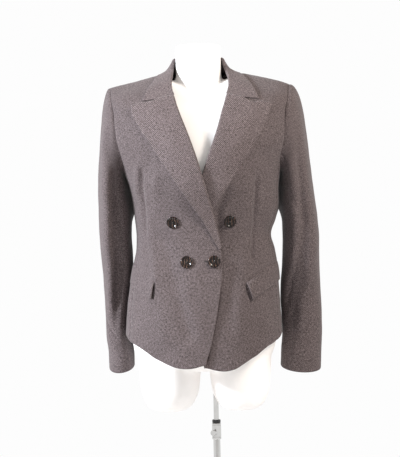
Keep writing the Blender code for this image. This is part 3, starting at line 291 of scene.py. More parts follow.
def place(x, z, face=FRONT_FACE):
    """The (turn, row) of the torso surface's point with this x and z."""
    x, z = np.broadcast_arrays(np.asarray(x, float), np.asarray(z, float))
    row = row_at_height(z)
    for _ in range(12):
        row = row_at_height(z + through(TORSO, row)[..., 6] * np.abs(x))
    sections = through(TORSO, row)
    half = np.where(x > 0, sections[..., 2], sections[..., 1])
    share = np.clip(np.abs(x) / half, 0, 1) ** (1 / SQUARENESS)
    turn = np.degrees(np.arcsin(share))
    turn = turn if face == FRONT_FACE else 180 - turn
    return np.where(x < 0, -turn, turn), row


def smooth_step(low, high, at):
    t = np.clip((at - low) / (high - low), 0, 1)
    return t * t * (3 - 2 * t)


# ---- folds laid in
# Each fold runs along points (across, height). A positive depth is a trough, a negative one a
# ridge. Down the sleeves "across" is the sleeve's own angle in degrees times SLEEVE_TURN.
Fold = namedtuple("Fold", "depth width path")
SLEEVE_TURN = 0.00075


def folds(*rows):
    """Folds from rows of depth, width and then the points, all in tenths of a millimetre."""
    sized = [np.array(row) / 1e4 for row in rows]
    return [Fold(row[0], row[1], row[2:].reshape(-1, 2)) for row in sized]


FOLDS = {
    "front_right": folds(
        (26, 110, -1187, 12043, -1002, 12180, -803, 12014),
        (44, 42, -1205, 12165, -1194, 11740, -1163, 11334, -1130, 10989, -1108, 10624),
        (-43, 70, -1293, 12288, -1293, 11843, -1272, 11438),
        (-38, 90, -1114, 11272, -1063, 10826, -1001, 10420, -951, 9973, -953, 9447),
        (-17, 70, -874, 12481, -904, 12037, -876, 11489), (17, 70, -1024, 12080, -1017, 11533, -987, 11067),
        (28, 140, -729, 10818, -602, 10168, -456, 9496, -326, 8947, -178, 8336),
        (-23, 140, -409, 9758, -169, 8741), (14, 90, -1004, 9408, -957, 8799, -947, 8354),
        (14, 80, -1583, 12457, -1467, 12211, -1289, 12005),
        (17, 80, -1845, 13394, -1649, 13106, -1473, 12819), (-12, 120, -238, 10159, -13, 9385, -114, 8477),
    ),
    "front_left": folds(
        (34, 36, 1158, 11909, 1130, 11586, 1103, 11283, 1074, 10878, 1034, 10475, 1015, 10090),
        (-15, 50, 1240, 11988, 1209, 11483, 1166, 10937), (-17, 90, 1405, 12085, 1429, 11376, 1352, 10670),
        (50, 75, 649, 11779, 469, 11459, 342, 11199, 326, 10956, 379, 10591),
        (52, 22, 328, 9681, 286, 9338, 205, 8975, 114, 8573, 14, 8089), (-19, 150, 743, 9672, 677, 8560),
        (12, 80, 599, 10484, 880, 10377, 1201, 10248), (-17, 130, 1180, 9318, 1252, 8911, 1241, 8446),
        (14, 70, 1515, 12488, 1570, 12223, 1583, 11940), (17, 80, 1880, 13431, 1709, 13030, 1642, 12748),
    ),
    "back_right": folds(
        (40, 170, -1180, 13000, -1120, 12000, -920, 11000, -850, 10500),
        (-29, 160, -620, 12000, -560, 11100, -580, 10400), (29, 90, -1250, 10900, -900, 10640, -500, 10580),
        (23, 80, -1180, 10450, -820, 10300, -400, 10340), (-32, 180, -720, 10000, -800, 9400, -760, 8800),
        (25, 110, -1500, 13400, -1420, 12900, -1300, 12500),
    ),
    "back_left": folds(
        (36, 180, 1160, 12900, 1080, 11900, 940, 11100, 860, 10450),
        (-27, 150, 580, 11900, 540, 11200, 600, 10500), (27, 85, 1240, 10960, 860, 10700, 440, 10600),
        (22, 80, 1100, 10400, 740, 10260, 360, 10300), (-29, 190, 780, 9950, 740, 9350, 820, 8800),
        (23, 110, 1480, 13300, 1400, 12850, 1320, 12400),
    ),
    "sleeve_right": folds(
        (78, 160, 800, 12450, 830, 11600, 840, 10800, 840, 10000, 830, 9300, 800, 8700),
        (-34, 110, 420, 13200, 460, 12300, 480, 11400, 480, 10000, 460, 9000),
        (16, 70, 900, 11650, 700, 11150, 480, 10900), (22, 75, 940, 10100, 780, 9550, 640, 9050),
        (22, 50, 100, 9000, 350, 8800, 600, 8580, 850, 8500), (-12, 55, 250, 8620, 480, 8420, 700, 8350),
        (35, 85, 1900, 11500, 2150, 11200, 2350, 11050), (32, 80, 1850, 10900, 2120, 10750, 2380, 10800),
        (29, 120, 2350, 12900, 2300, 12000, 2250, 11300),
    ),
    "sleeve_left": folds(
        (50, 85, 580, 12500, 600, 11700, 640, 10900, 740, 10300, 900, 9720, 1020, 9300, 1180, 8900),
        (-22, 90, 840, 12500, 870, 11500, 900, 10500, 980, 9700),
        (-14, 110, 380, 13000, 440, 11800, 480, 10600, 560, 9400),
        (15, 70, 940, 11600, 740, 11100, 500, 10860), (-14, 100, 680, 9600, 720, 9000, 780, 8500),
        (18, 55, 500, 8880, 740, 8620, 1000, 8500), (34, 85, 1880, 11400, 2120, 11160, 2360, 11100),
        (30, 80, 1900, 10800, 2140, 10700, 2360, 10760), (27, 120, 2340, 12800, 2280, 11900, 2240, 11200),
    ),
}
# Hollows in the front alone: under each lapel's notch, behind each flap's front edge, and along the
# left flap's top and foot.
NOTCHES = {
    "front_right": folds(
        (60, 21, -1166, 13415, -1014, 13423, -852, 13444), (46, 22, -954, 9821, -986, 9650, -1033, 9388),
    ),
    "front_left": folds(
        (60, 21, 928, 13388, 1070, 13384, 1232, 13381), (42, 22, 865, 9709, 905, 9526, 978, 9342),
        (30, 26, 870, 9722, 1180, 9920, 1480, 10110), (24, 26, 985, 9352, 1230, 9520, 1480, 9690),
    ),
}


def creases(flat, piece_folds):
    """How far the folds of one piece sink its cloth at these flat points."""
    sunk = np.zeros(flat.shape[:-1])
    for fold in piece_folds:
        steps = np.diff(fold.path, axis=0)
        runs = np.linalg.norm(steps, axis=-1)
        total = runs.sum()
        nearest = np.full(sunk.shape, 1e9)
        share = np.zeros(sunk.shape)
        walked = 0.0
        for start, step, run in zip(fold.path, steps, runs):
            along = ((flat - start) @ step) / run**2
            held = np.clip(along, 0, 1)
            gap = np.linalg.norm(flat - start - held[..., None] * step, axis=-1)
            closer = gap < nearest
            nearest = np.where(closer, gap, nearest)
            share = np.where(closer, (walked + held * run) / total, share)
            walked += run
        ends = min(0.25, 5 * fold.width / total)
        fade = smooth_step(0.0, ends, share) * (1 - smooth_step(1 - ends, 1.0, share))
        sunk += fold.depth * fade * np.exp(-((nearest / fold.width) ** 2))
    return sunk


# The unevenness of pressed cloth: waves across, up and into the body, with each wave's share.
WAVES = (
    (41, 17, 29, 0.30), (-67, 37, 53, 0.25), (97, -61, 71, 0.18), (-149, 113, -83, 0.14),
    (211, 167, 127, 0.08),
)
FRONT_UNEVEN, BACK_UNEVEN, SLEEVE_UNEVEN = 0.0007, 0.0010, 0.0009


def unevenness(points, size, seed):
    """The small rise and fall of pressed cloth, about as high as size."""
    x, y, z = points[..., 0], points[..., 1], points[..., 2]
    waves = np.zeros(x.shape)
    for number, (across, up, deep, share) in enumerate(WAVES):
        waves += share * np.sin(across * x + up * z + deep * y + 1.7 * number + seed)
    return size * waves


def sided(name, side):
    return f"{name}_{'left' if side == LEFT else 'right'}"


def valley_depth(points, side):
    """How far the fronts' soft valleys and folds sink the cloth at these points."""
    depth = np.zeros(points.shape[:-1])
    for valley in VALLEYS:
        if valley.side != side:
            continue
        top = np.array((valley.top_x, valley.top_z))
        along = np.array((valley.foot_x, valley.foot_z)) - top
        flat = points[..., [0, 2]] - top
        share = (flat @ along) / (along @ along)
        across = flat[..., 0] - along[0] * share
        fade = smooth_step(-0.12, 0.12, share) * (1 - smooth_step(0.88, 1.12, share))
        depth += valley.depth * fade * np.exp(-((across / valley.width) ** 2))
    ahead = points[..., 1] < 0.03
    return (depth + creases(points[..., [0, 2]], FOLDS[sided("front", side)])) * ahead


def lap_lift(points, side):
    """How far a front stands off the torso surface because the right front laps over the left."""
    if side == LEFT:
        return np.zeros(points.shape[:-1])
    aside = smooth_step(0.045, 0.115, -points[..., 0])
    above = smooth_step(1.21, 1.32, points[..., 2])
    return LAP_LIFT * (1 - aside) * (1 - above) * (points[..., 1] < 0)


def front_lift(points, side):
    """How far the outer face of one front stands off the torso surface."""
    return lap_lift(points, side) - valley_depth(points, side) + unevenness(points, FRONT_UNEVEN, side)


def over_front(turn, row, side, lift):
    """Points that stand this far off the front panel of one side, at a (turn, row)."""
    points = torso(turn, row)
    rise = front_lift(points, side) + lift
    return points + torso_normal(turn, row) * np.asarray(rise)[..., None]


def on_front(x, z, side, lift):
    """The same, at an x and z."""
    return over_front(*place(x, z), side, lift)


# ---- shader recipes
class Value:
    """A shader socket that Python's operators work on, each adding one Math node."""

    def __init__(self, recipe, socket):
        self.recipe, self.socket = recipe, socket

    def math(self, operation, *terms):
        return self.recipe.node("ShaderNodeMath", {"operation": operation}, terms)

    def __add__(self, other):
        return self.math("ADD", self, other)

    def __sub__(self, other):
        return self.math("SUBTRACT", self, other)

    def __rsub__(self, other):
        return self.math("SUBTRACT", other, self)

    def __mul__(self, other):
        return self.math("MULTIPLY", self, other)

    __radd__ = __add__
    __rmul__ = __mul__

    def cosine(self):
        return self.math("COSINE", self)

    def within(self, low, high):
        """0 below low, 1 above high, smooth between."""
        sockets = {"Value": self, "From Min": low, "From Max": high}
        return self.recipe.node("ShaderNodeMapRange", {"interpolation_type": "SMOOTHSTEP"}, sockets)


class Recipe:
    """A material whose nodes are made by one method."""

    def __init__(self, name):
        self.material = bpy.data.materials.new(name)
        self.material.use_nodes = True
        self.tree = self.material.node_tree
        self.shader = self.tree.nodes["Principled BSDF"]

    def node(self, kind, settings, sockets, output=0):
        made = self.tree.nodes.new(kind)
        for key, value in settings.items():
            if key == "stops":
                self.set_stops(made.color_ramp, value)
            else:
                setattr(made, key, value)
        pairs = sockets.items() if isinstance(sockets, dict) else enumerate(sockets)
        for key, value in pairs:
            self.feed(made.inputs[key], value)
        return Value(self, made.outputs[output])

    def set_stops(self, ramp, stops):
        while len(ramp.elements) < len(stops):
            ramp.elements.new(1.0)
        for element, (position, colour) in zip(ramp.elements, stops):
            element.position = position
            element.color = (*colour, 1.0)

    def feed(self, socket, value):
        if isinstance(value, Value):
            self.tree.links.new(value.socket, socket)
        elif isinstance(value, tuple) and len(value) == 3 and socket.type == "RGBA":
            socket.default_value = (*value, 1.0)
        else:
            socket.default_value = value

    def mix(self, factor, first, second):
        """A colour between two colours."""
        sockets = {0: factor, 6: first, 7: second}  # its factor and its two colours
        return self.node("ShaderNodeMix", {"data_type": "RGBA"}, sockets, output=2)

    def noise(self, vector, scale, detail=2.0, roughness=0.5):
        sockets = {"Vector": vector, "Scale": scale, "Detail": detail, "Roughness": roughness}
        return self.node("ShaderNodeTexNoise", {}, sockets)

    def place_on_object(self):
        return self.node("ShaderNodeTexCoord", {}, {}, output=3)

    def place_on_cut(self):
        return self.node("ShaderNodeUVMap", {"uv_map": "cut"}, {})

    def bump(self, height, strength, distance):
        sockets = {"Height": height, "Strength": strength, "Distance": distance}
        return self.node("ShaderNodeBump", {}, sockets)

    def finish(self, **sockets):
        for key, value in sockets.items():
            self.feed(self.shader.inputs[key.replace("_", " ")], value)
        return self.material


DARK_YARN, LIGHT_YARN = (0.028, 0.020, 0.019), (0.186, 0.148, 0.149)
LATTICE = 0.0041  # the birdseye's repeat along warp and weft


def wool(name, contrast, tone=1.0):
    """Pepper-and-salt birdseye: light and dark yarns in a small diamond lattice, with a dry nap."""
    recipe = Recipe(name)
    cut = recipe.place_on_cut()
    across = recipe.node("ShaderNodeSeparateXYZ", {}, [cut], output=0)
    along = recipe.node("ShaderNodeSeparateXYZ", {}, [cut], output=1)
    wander = recipe.noise(cut, 60.0, 2.0) * 0.0014
    waves = math.tau / LATTICE
    lattice = ((across + wander) * waves).cosine() * ((along - wander) * waves).cosine()
    warp, weft = (
        recipe.noise(recipe.node("ShaderNodeMapping", {}, {"Vector": cut, "Scale": stretch}), scale, 2.0, 0.7)
        for stretch, scale in (((1.0, 0.4, 1.0), 560.0), ((0.4, 1.0, 1.0), 540.0))
    )
    specks = recipe.noise(cut, 820.0, 1.0)
    cloud = recipe.noise(cut, 34.0, 3.0, 0.55)
    light = 0.44 + lattice * contrast + (warp - 0.5) * 1.4 + (weft - 0.5) * 1.3
    light = light + (specks - 0.5) * 0.8 + (cloud - 0.5) * 0.16
    # A tone above 1 paints the yarns lighter. That is painted light: the same cloth, coloured as if more
    # brightly lit.
    dark_yarn = tuple(part * tone for part in DARK_YARN)
    light_yarn = tuple(part * tone for part in LIGHT_YARN)
    colour = recipe.mix(light.within(0.0, 1.0), dark_yarn, light_yarn)
    height = lattice * 0.5 + warp * 0.9 + weft * 0.9
    return recipe.finish(
        Base_Color=colour, Roughness=0.86 + (warp - 0.5) * 0.16,
        Normal=recipe.bump(height, 0.35, 0.0005),
        Sheen_Weight=0.16, Sheen_Roughness=0.40, Specular_IOR_Level=0.25,
    )


def horn(name):
    """Polished dark horn, nearly black with a few brown and straw-coloured streaks."""
    recipe = Recipe(name)
    point = recipe.place_on_object()
    swirl = recipe.noise(point, 95.0, 4.0, 0.6)
    streak = recipe.node(
        "ShaderNodeTexWave", {"wave_type": "BANDS"},
        {"Vector": point, "Scale": 55.0, "Distortion": 7.0, "Detail": 3.0, "Detail Scale": 2.0},
    )
    mixed = streak * 0.55 + swirl * 0.55
    stops = [
        (0.0, (0.004, 0.003, 0.003)), (0.66, (0.008, 0.006, 0.005)),
        (0.80, (0.040, 0.020, 0.015)), (0.96, (0.22, 0.14, 0.10)),
    ]
    colour = recipe.node("ShaderNodeValToRGB", {"stops": stops}, [mixed])
    rough = 0.14 + recipe.noise(point, 400.0, 2.0) * 0.10
    return recipe.finish(
        Base_Color=colour, Roughness=rough, Coat_Weight=0.12, Coat_Roughness=0.08, Specular_IOR_Level=0.22,
    )


def twisted_thread(name, colour):
    recipe = Recipe(name)
    point = recipe.place_on_object()
    ply = recipe.node(
        "ShaderNodeTexWave", {"wave_type": "BANDS", "bands_direction": "DIAGONAL"},
        {"Vector": point, "Scale": 900.0, "Distortion": 1.0},
    )
    shaded = recipe.mix(ply, tuple(part * 0.45 for part in colour), colour)
    return recipe.finish(Base_Color=shaded, Roughness=0.75, Normal=recipe.bump(ply, 0.4, 0.0002))


def form_shell(name):
    """The form's smooth off-white skin, with a faint eggshell grain."""
    recipe = Recipe(name)
    point = recipe.place_on_object()
    grain = recipe.noise(point, 420.0, 2.0)
    haze = recipe.noise(point, 7.0, 3.0)
    colour = recipe.mix(haze.within(0.35, 0.75), (0.950, 0.922, 0.900), (0.930, 0.893, 0.862))
    return recipe.finish(
        Base_Color=colour, Roughness=0.42 + (grain - 0.5) * 0.12, Normal=recipe.bump(grain, 0.08, 0.0003),
        Specular_IOR_Level=0.4,
    )


def chrome(name, tone, roughness=0.10):
    recipe = Recipe(name)
    point = recipe.place_on_object()
    wipe = recipe.noise(point, 60.0, 3.0)
    fine = recipe.noise(point, 900.0, 2.0)
    bright, dull = (tone, tone * 0.99, tone * 0.97), (tone * 0.88, tone * 0.87, tone * 0.86)
    colour = recipe.mix(wipe.within(0.4, 0.7), bright, dull)
    return recipe.finish(
        Base_Color=colour, Metallic=1.0, Roughness=roughness + (wipe - 0.4) * 0.10,
        Normal=recipe.bump(fine, 0.03, 0.0001),
    )


def black_plastic(name):
    recipe = Recipe(name)
    point = recipe.place_on_object()
    grain = recipe.noise(point, 1200.0, 2.0)
    worn = recipe.noise(point, 90.0, 3.0)
    colour = recipe.mix(worn.within(0.55, 0.8), (0.018, 0.018, 0.019), (0.045, 0.044, 0.043))
    rough = 0.38 + (grain - 0.5) * 0.2
    return recipe.finish(Base_Color=colour, Roughness=rough, Normal=recipe.bump(grain, 0.15, 0.0002))


def pale_floor(name):
    recipe = Recipe(name)
    point = recipe.place_on_object()
    cloud = recipe.noise(point, 2.0, 3.0)
    colour = recipe.mix(cloud, (0.80, 0.79, 0.78), (0.75, 0.74, 0.735))
    return recipe.finish(Base_Color=colour, Roughness=0.8)


BODY_WOOL = wool("wool_body", 0.14)
# The lapels and collar are the body's wool with a stronger lattice and a lighter tone. The lighter tone is
# painted light.
LAPEL_WOOL_PAINTED_LIGHTER = wool("wool_lapel", 0.32, 1.14)
SLEEVE_WOOL = wool("wool_sleeve", 0.12)
HORN = horn("dark_horn")
THREAD = twisted_thread("button_thread", (0.060, 0.048, 0.042))
BUTTONHOLE_THREAD = twisted_thread("buttonhole_thread", (0.030, 0.023, 0.021))
SHELL = form_shell("form_shell_white")
CHROME = chrome("chrome_bright", 0.64)
BASE_CHROME = chrome("chrome_base", 0.70, 0.18)
PLASTIC = black_plastic("plastic_black")


# ---- making pieces
def linked(name, source):
    """Turns a bmesh into an object of the scene."""
    mesh = bpy.data.meshes.new(name)
    source.to_mesh(mesh)
    source.free()
    made = bpy.data.objects.new(name, mesh)
    bpy.context.scene.collection.objects.link(made)
    return made


def show(name, source, finish, body="torso", node=None, smooth=60):
    """Turns a bmesh into a finished piece that rides on its body and stands for its node."""
    bmesh.ops.recalc_face_normals(source, faces=source.faces)
    if source.calc_volume(signed=True) < 0:
        bmesh.ops.reverse_faces(source, faces=source.faces)
    made = linked(name, source)
    made.data.shade_smooth()
    made.data.set_sharp_from_angle(angle=math.radians(smooth))
    made.data.materials.append(finish)
    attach(made, body)
    if node:
        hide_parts(node)
    return made


EDGE_ROUND = 0.0014  # the cloth's turned edge is rounded over this width
EDGE_THIN = 0.42  # and its thickness there is this share of the cloth's


def with_edge_lines(grid):
    """The same grid with one more line of points just inside each of its four edges."""
    for axis in (0, 1):
        grid = np.swapaxes(grid, 0, axis)
        for end in (0, 1):
            grid = grid[::-1] if end else grid
            gap = np.linalg.norm(grid[1, :, 0:3] - grid[0, :, 0:3], axis=-1)
            share = np.minimum(0.5, EDGE_ROUND / np.maximum(gap, 1e-6))[:, None]
            line = grid[0] * (1 - share) + grid[1] * share
            grid = np.concatenate([grid[:1], line[None], grid[1:]])
            grid = grid[::-1] if end else grid
        grid = np.swapaxes(grid, 0, axis)
    return grid


EDGES = ((0, slice(None)), (-1, slice(None)), (slice(None), 0), (slice(None), -1))


def cloth(name, outer, inner, cut, finish, soft=(True, True, True, True)):
    """A closed sheet of cloth between two grids of points, with its cut laid out flat as its UV map.
    soft says which edges are rounded: first row, last row, first column, last column."""
    grid = with_edge_lines(np.concatenate([outer, inner, cut], axis=-1))
    outer, inner, cut = grid[..., 0:3], grid[..., 3:6], grid[..., 6:8]
    middle, half = (outer + inner) / 2, (outer - inner) / 2
    thick = np.ones(outer.shape[:2])
    for rounded, edge in zip(soft, EDGES):
        if rounded:
            thick[edge] = EDGE_THIN
    outer, inner = middle + half * thick[..., None], middle - half * thick[..., None]
    rows, columns = outer.shape[:2]
    sheet = bmesh.new()
    row_of = sheet.verts.layers.int.new("row")
    column_of = sheet.verts.layers.int.new("column")
    bmesh.ops.create_grid(sheet, x_segments=columns - 1, y_segments=rows - 1, size=0.5)
    for vert in sheet.verts:
        vert[column_of] = round((vert.co.x + 0.5) * (columns - 1))
        vert[row_of] = round((vert.co.y + 0.5) * (rows - 1))
    layer = bmesh.ops.extrude_face_region(sheet, geom=sheet.faces[:], use_keep_orig=True)
    upper = {item for item in layer["geom"] if isinstance(item, bmesh.types.BMVert)}
    flat = sheet.loops.layers.uv.new("cut")
    for vert in sheet.verts:
        at = (vert[row_of], vert[column_of])
        vert.co = outer[at] if vert in upper else inner[at]
        for loop in vert.link_loops:
            loop[flat].uv = cut[at]
    return show(name, sheet, finish, node=name, smooth=75)


def flat_cut(grid, anchor_column=0):
    """Lays a grid of points out flat: distance along each row, and down the anchor column."""
    across = np.linalg.norm(np.diff(grid, axis=1), axis=-1)
    u = np.concatenate([np.zeros((len(grid), 1)), np.cumsum(across, axis=1)], axis=1)
    u -= u[:, anchor_column : anchor_column + 1]
    down = np.linalg.norm(np.diff(grid, axis=0), axis=-1)
    v = np.concatenate([np.zeros((1, grid.shape[1])), np.cumsum(down, axis=0)], axis=0)
    v = np.repeat(v[:, anchor_column : anchor_column + 1], grid.shape[1], axis=1)
    return np.stack([u, v], axis=-1)


# ---- the panels of the body
FRONT_SEAM_TURN, BACK_SEAM_TURN = 69.0, 111.0
SEAM_TURNS = 0.10  # half the clearance of a lengthwise seam, in degrees
SHOULDER_GAP_ROWS = 0.012
ROWS_BELOW, ROWS_ABOVE = 130, 100
FRONT_COLUMNS, SIDE_COLUMNS, BACK_COLUMNS = 150, 40, 70
# How much higher each front's hem is than the even line, by turn.
HEM_SHIFT = {
    side: tenths(Hem, rows, plain=("turn",))
    for side, rows in {
        LEFT: [
            (0, -35), (12, -40), (20, -26), (27, 4), (38, 18), (44, 45), (50, 45), (56, 22), (63, 16),
            (69, 0),
        ],
        RIGHT: [
            (0, 18), (8, 22), (14, 34), (22, 42), (29, 35), (34, 25), (38, 32), (43, 52), (48, 52), (54, 40),
            (62, 22), (69, 0),
        ],
    }.items()
}
SEAM_SINK, SEAM_SOFT = 0.0009, 0.0032  # a pressed seam dips this much, over this width


def armhole_edge(angle):
    """(turn, row) of the armhole at these sleeve angles."""
    return read(ARMHOLE, "turn", "angle", angle), read(ARMHOLE, "row", "angle", angle)


def row_at_hem(turn, side=None):
    """The torso row at which the hem lies, at this turn. The two fronts hang a little unlike."""
    heights = read(HEM, "height", "turn", np.abs(turn))
    if side:
        heights = heights + np.interp(np.abs(turn), *zip(*HEM_SHIFT[side]))
    return row_at_height(heights)


def front_edge_reach(height, side):
    return read(FRONT_EDGE[side], "reach", "height", height)


def edge_turn(row, side):
    """The turn of a front's free edge at these rows."""
    table = through(TORSO, row)
    reach = np.zeros(np.shape(row))
    for _ in range(4):
        reach = front_edge_reach(table[..., 0] - table[..., 6] * np.abs(reach), side)
    half = np.where(reach * side > 0, table[..., 2], table[..., 1])
    share = np.clip(np.abs(reach) / half, 0, 1) ** (1 / SQUARENESS)
    return np.degrees(np.arcsin(share)) * np.sign(reach) * side


def seam_column(seam_turn, low_row, near, far):
    """(turn, row) down a panel's outer edge: side seam, then armhole."""
    arm_turn, arm_row = armhole_edge(np.linspace(near, far, ROWS_ABOVE + 1))
    share = np.linspace(0, 1, ROWS_BELOW + 1)[:-1]
    low = low_row + (arm_row[0] - low_row) * share
    turn = seam_turn + (arm_turn[0] - seam_turn) * share**3
    return np.concatenate([turn, arm_turn]), np.concatenate([low, arm_row])


def panel(name, turns, rows, side, grain):
    """A body panel from grids of (turn, row), with its folds laid in."""
    points, normals = torso(turns, rows), torso_normal(turns, rows)
    sewn = [points[:, -1:], points[-1:]]
    if name.startswith("front"):
        lifts = front_lift(points, side) - creases(points[..., [0, 2]], NOTCHES[name])
    else:
        # The folds fade out towards the shoulder seam.
        lifts = unevenness(points, BACK_UNEVEN, side) - creases(points[..., [0, 2]], FOLDS.get(name, ()))
        lifts *= smooth_step(0.0, 0.10, (RIDGE - rows) / RIDGE)
        sewn.append(points[:, :1])
    nearest = np.min([np.linalg.norm(points - line, axis=-1) for line in sewn], axis=0)
    lifts -= SEAM_SINK * np.exp(-((nearest / SEAM_SOFT) ** 2))
    outer = points + normals * lifts[..., None]
    return cloth(name, outer, outer - normals * CLOTH, flat_cut(outer, grain), BODY_WOOL)


def make_front(side):
    outer_turn, outer_row = seam_column(FRONT_SEAM_TURN, row_at_hem(FRONT_SEAM_TURN), SIDE_SEAMS[0], 0.0)
    low_row = row_at_hem(-1.0)
    share = (outer_row - outer_row[0]) / (outer_row[-1] - outer_row[0])
    inner_row = low_row + (RIDGE - low_row) * share
    inner_turn = edge_turn(inner_row, side) * side
    across = np.linspace(0, 1, FRONT_COLUMNS + 1)
    turns = inner_turn[:, None] * (1 - across) + (outer_turn - SEAM_TURNS)[:, None] * across
    rows = inner_row[:, None] * (1 - across) + outer_row[:, None] * across
    # The hem follows its own curve, and that fades out up the panel.
    fade = (1 - share[:, None]) ** 2
    rows += fade * (row_at_hem(turns[:1], side) - rows[:1])
    rows = np.minimum(rows, RIDGE)
    rows[-1] -= SHOULDER_GAP_ROWS
    return panel(sided("front", side), turns * side, rows, side, FRONT_COLUMNS // 2)


def make_side(side):
    angles = np.linspace(*SIDE_SEAMS, SIDE_COLUMNS + 1)
    top_turn, top_row = armhole_edge(angles)
    foot_turn = np.linspace(FRONT_SEAM_TURN, BACK_SEAM_TURN, SIDE_COLUMNS + 1)
    foot_row = row_at_hem(foot_turn)
    share = np.linspace(0, 1, ROWS_BELOW + 1)[:, None]
    turns = foot_turn + (top_turn - foot_turn) * share**3
    turns[:, 0] += SEAM_TURNS
    turns[:, -1] -= SEAM_TURNS
    rows = foot_row + (top_row - foot_row) * share
    return panel(sided("side", side), turns * side, rows, side, SIDE_COLUMNS // 2)


def make_back(side):
    outer_turn, outer_row = seam_column(BACK_SEAM_TURN, row_at_hem(BACK_SEAM_TURN), SIDE_SEAMS[1], 360.0)
    middle_turn = 180 - SEAM_TURNS
    neck_turn = 180 - place(COLLAR[4].neck_reach, COLLAR[4].neck_height)[0]
    neck_row = place(0.0, COLLAR[0].neck_height, BACK_FACE)[1]
    share = (outer_row - outer_row[0]) / (outer_row[-1] - outer_row[0])
    low_row = row_at_hem(middle_turn)
    across = np.linspace(0, 1, BACK_COLUMNS + 1)
    turns = middle_turn * (1 - across) + (outer_turn + SEAM_TURNS)[:, None] * across
    rows = (low_row + (RIDGE - low_row) * share)[:, None] * (1 - across) + outer_row[:, None] * across
    # The neckline is scooped below the shoulder seam, and the scoop fades out down the back.
    scoop = np.clip((turns - neck_turn) / (180 - neck_turn), 0, 1)
    sunk = (RIDGE - neck_row) * np.sqrt(1 - (1 - scoop) ** 2)
    rows -= sunk * np.clip((rows - 11.0) / (RIDGE - 11.0), 0, 1) ** 1.5
    rows[-1] -= SHOULDER_GAP_ROWS
    return panel(sided("back", side), turns * side, rows, side, 0)


# ---- the sleeves
SLEEVE_FINE = 4  # fine points for each of the part's own
SLEEVE_CAP_STEPS, SLEEVE_STEPS = 40, 120
SLEEVE_INWARD = {RIGHT: 0.0130, LEFT: 0.0120}
ARMHOLE_GAP = 0.00012  # clearance between a sleeve's head and the body
CAP_LEAST = 0.006  # how far a sleeve carries on outwards under the arm
CUFF_INNER_RISE = {RIGHT: 0.0045, LEFT: 0.0065}  # how much higher a cuff is on the body's side
SLEEVE_SEAM_TURNS = 0.28  # half the clearance of a sleeve's seams, in degrees
ARM_MIDDLE = (0.175, 0.008, 1.285)  # a point inside the armhole, on the wearer's left


def armhole_loop(angle, side):
    """Points of the armhole's edge, the outward direction there and the way into the sleeve."""
    angle = np.asarray(angle, float)
    turn, row = armhole_edge(angle)
    points = torso(turn * side, row)
    (next_turn, next_row), (last_turn, last_row) = (
        armhole_edge(near) for near in (np.minimum(angle + 1, 360), np.maximum(angle - 1, 0))
    )
    along = torso(next_turn * side, next_row) - torso(last_turn * side, last_row)
    normal = torso_normal(turn * side, row)
    into = unit(np.cross(normal, along)) * side
    return points, normal, into


def about(angle, where, width):
    """1 at one angle of the sleeve, falling off to both sides of it; all in degrees."""
    gap = (angle - where + 180) % 360 - 180
    return np.exp(-((gap / width) ** 2))


def sleeve_ring(height, angle, side):
    """Points of a sleeve's level ring at this height."""
    table = SLEEVES[side]
    keys = [-ring.height for ring in table]
    at = np.interp(-height, keys, np.arange(len(keys)))
    _, near, far, middle, depth, fold, where = np.moveaxis(through(table, at), -1, 0)
    radians = np.radians(angle)
    press = 1 - fold / ((far - near) / 2) * about(angle, where, 24.0) * 1.25
    x = (near + far) / 2 + (far - near) / 2 * np.cos(radians) * press
    y = middle - depth * np.sin(radians) * press
    # Behind the body the upper sleeve hangs in towards the back.
    x = x - SLEEVE_INWARD[side] * about(angle, 212, 27.0) * smooth_step(1.085, 1.135, height)
    dip = CUFF_DIP * np.abs(np.sin(radians)) * smooth_step(-0.90, -0.80, -height)
    dip = dip - CUFF_INNER_RISE[side] * (1 - np.cos(radians)) / 2 * smooth_step(-0.87, -0.79, -height)
    return np.stack([x * side, y, height - dip], axis=-1)


def sleeve_surface(angle, step, side):
    """Points of a sleeve: step 0 to 1 is its head, from the armhole down to the first ring, and the
    rest runs down the arm."""
    angle, step = np.broadcast_arrays(np.asarray(angle, float), np.asarray(step, float))
    start, _, into = armhole_loop(np.mod(angle, 360), side)
    start = start + into * ARMHOLE_GAP
    top = SLEEVES[side][0].height
    ring = sleeve_ring(np.full(angle.shape, top), angle, side)
    over = (1 + np.cos(np.radians(angle))) / 2  # 1 at the shoulder tip, 0 under the arm
    reach = CAP_LEAST + (CAP_REACH[side] - CAP_LEAST) * over
    first = start + np.stack([side * reach, 0 * reach, -0.10 * reach], axis=-1)
    climb = 0.45 * (start[..., 2] - top)
    inward = side * 0.010 * about(angle, 196, 42.0)
    last = ring + np.stack([side * CAP_LEAN[side] * over - inward, 0 * climb, climb], axis=-1)
    t = np.clip(step, 0, 1)[..., None]
    head = (1 - t) ** 3 * start + 3 * t * (1 - t) ** 2 * first + 3 * t**2 * (1 - t) * last + t**3 * ring
    foot = SLEEVES[side][-1].height
    arm = sleeve_ring(top + (foot - top) * np.clip(step - 1, 0, 1), angle, side)
    return np.where(step[..., None] <= 1, head, arm)


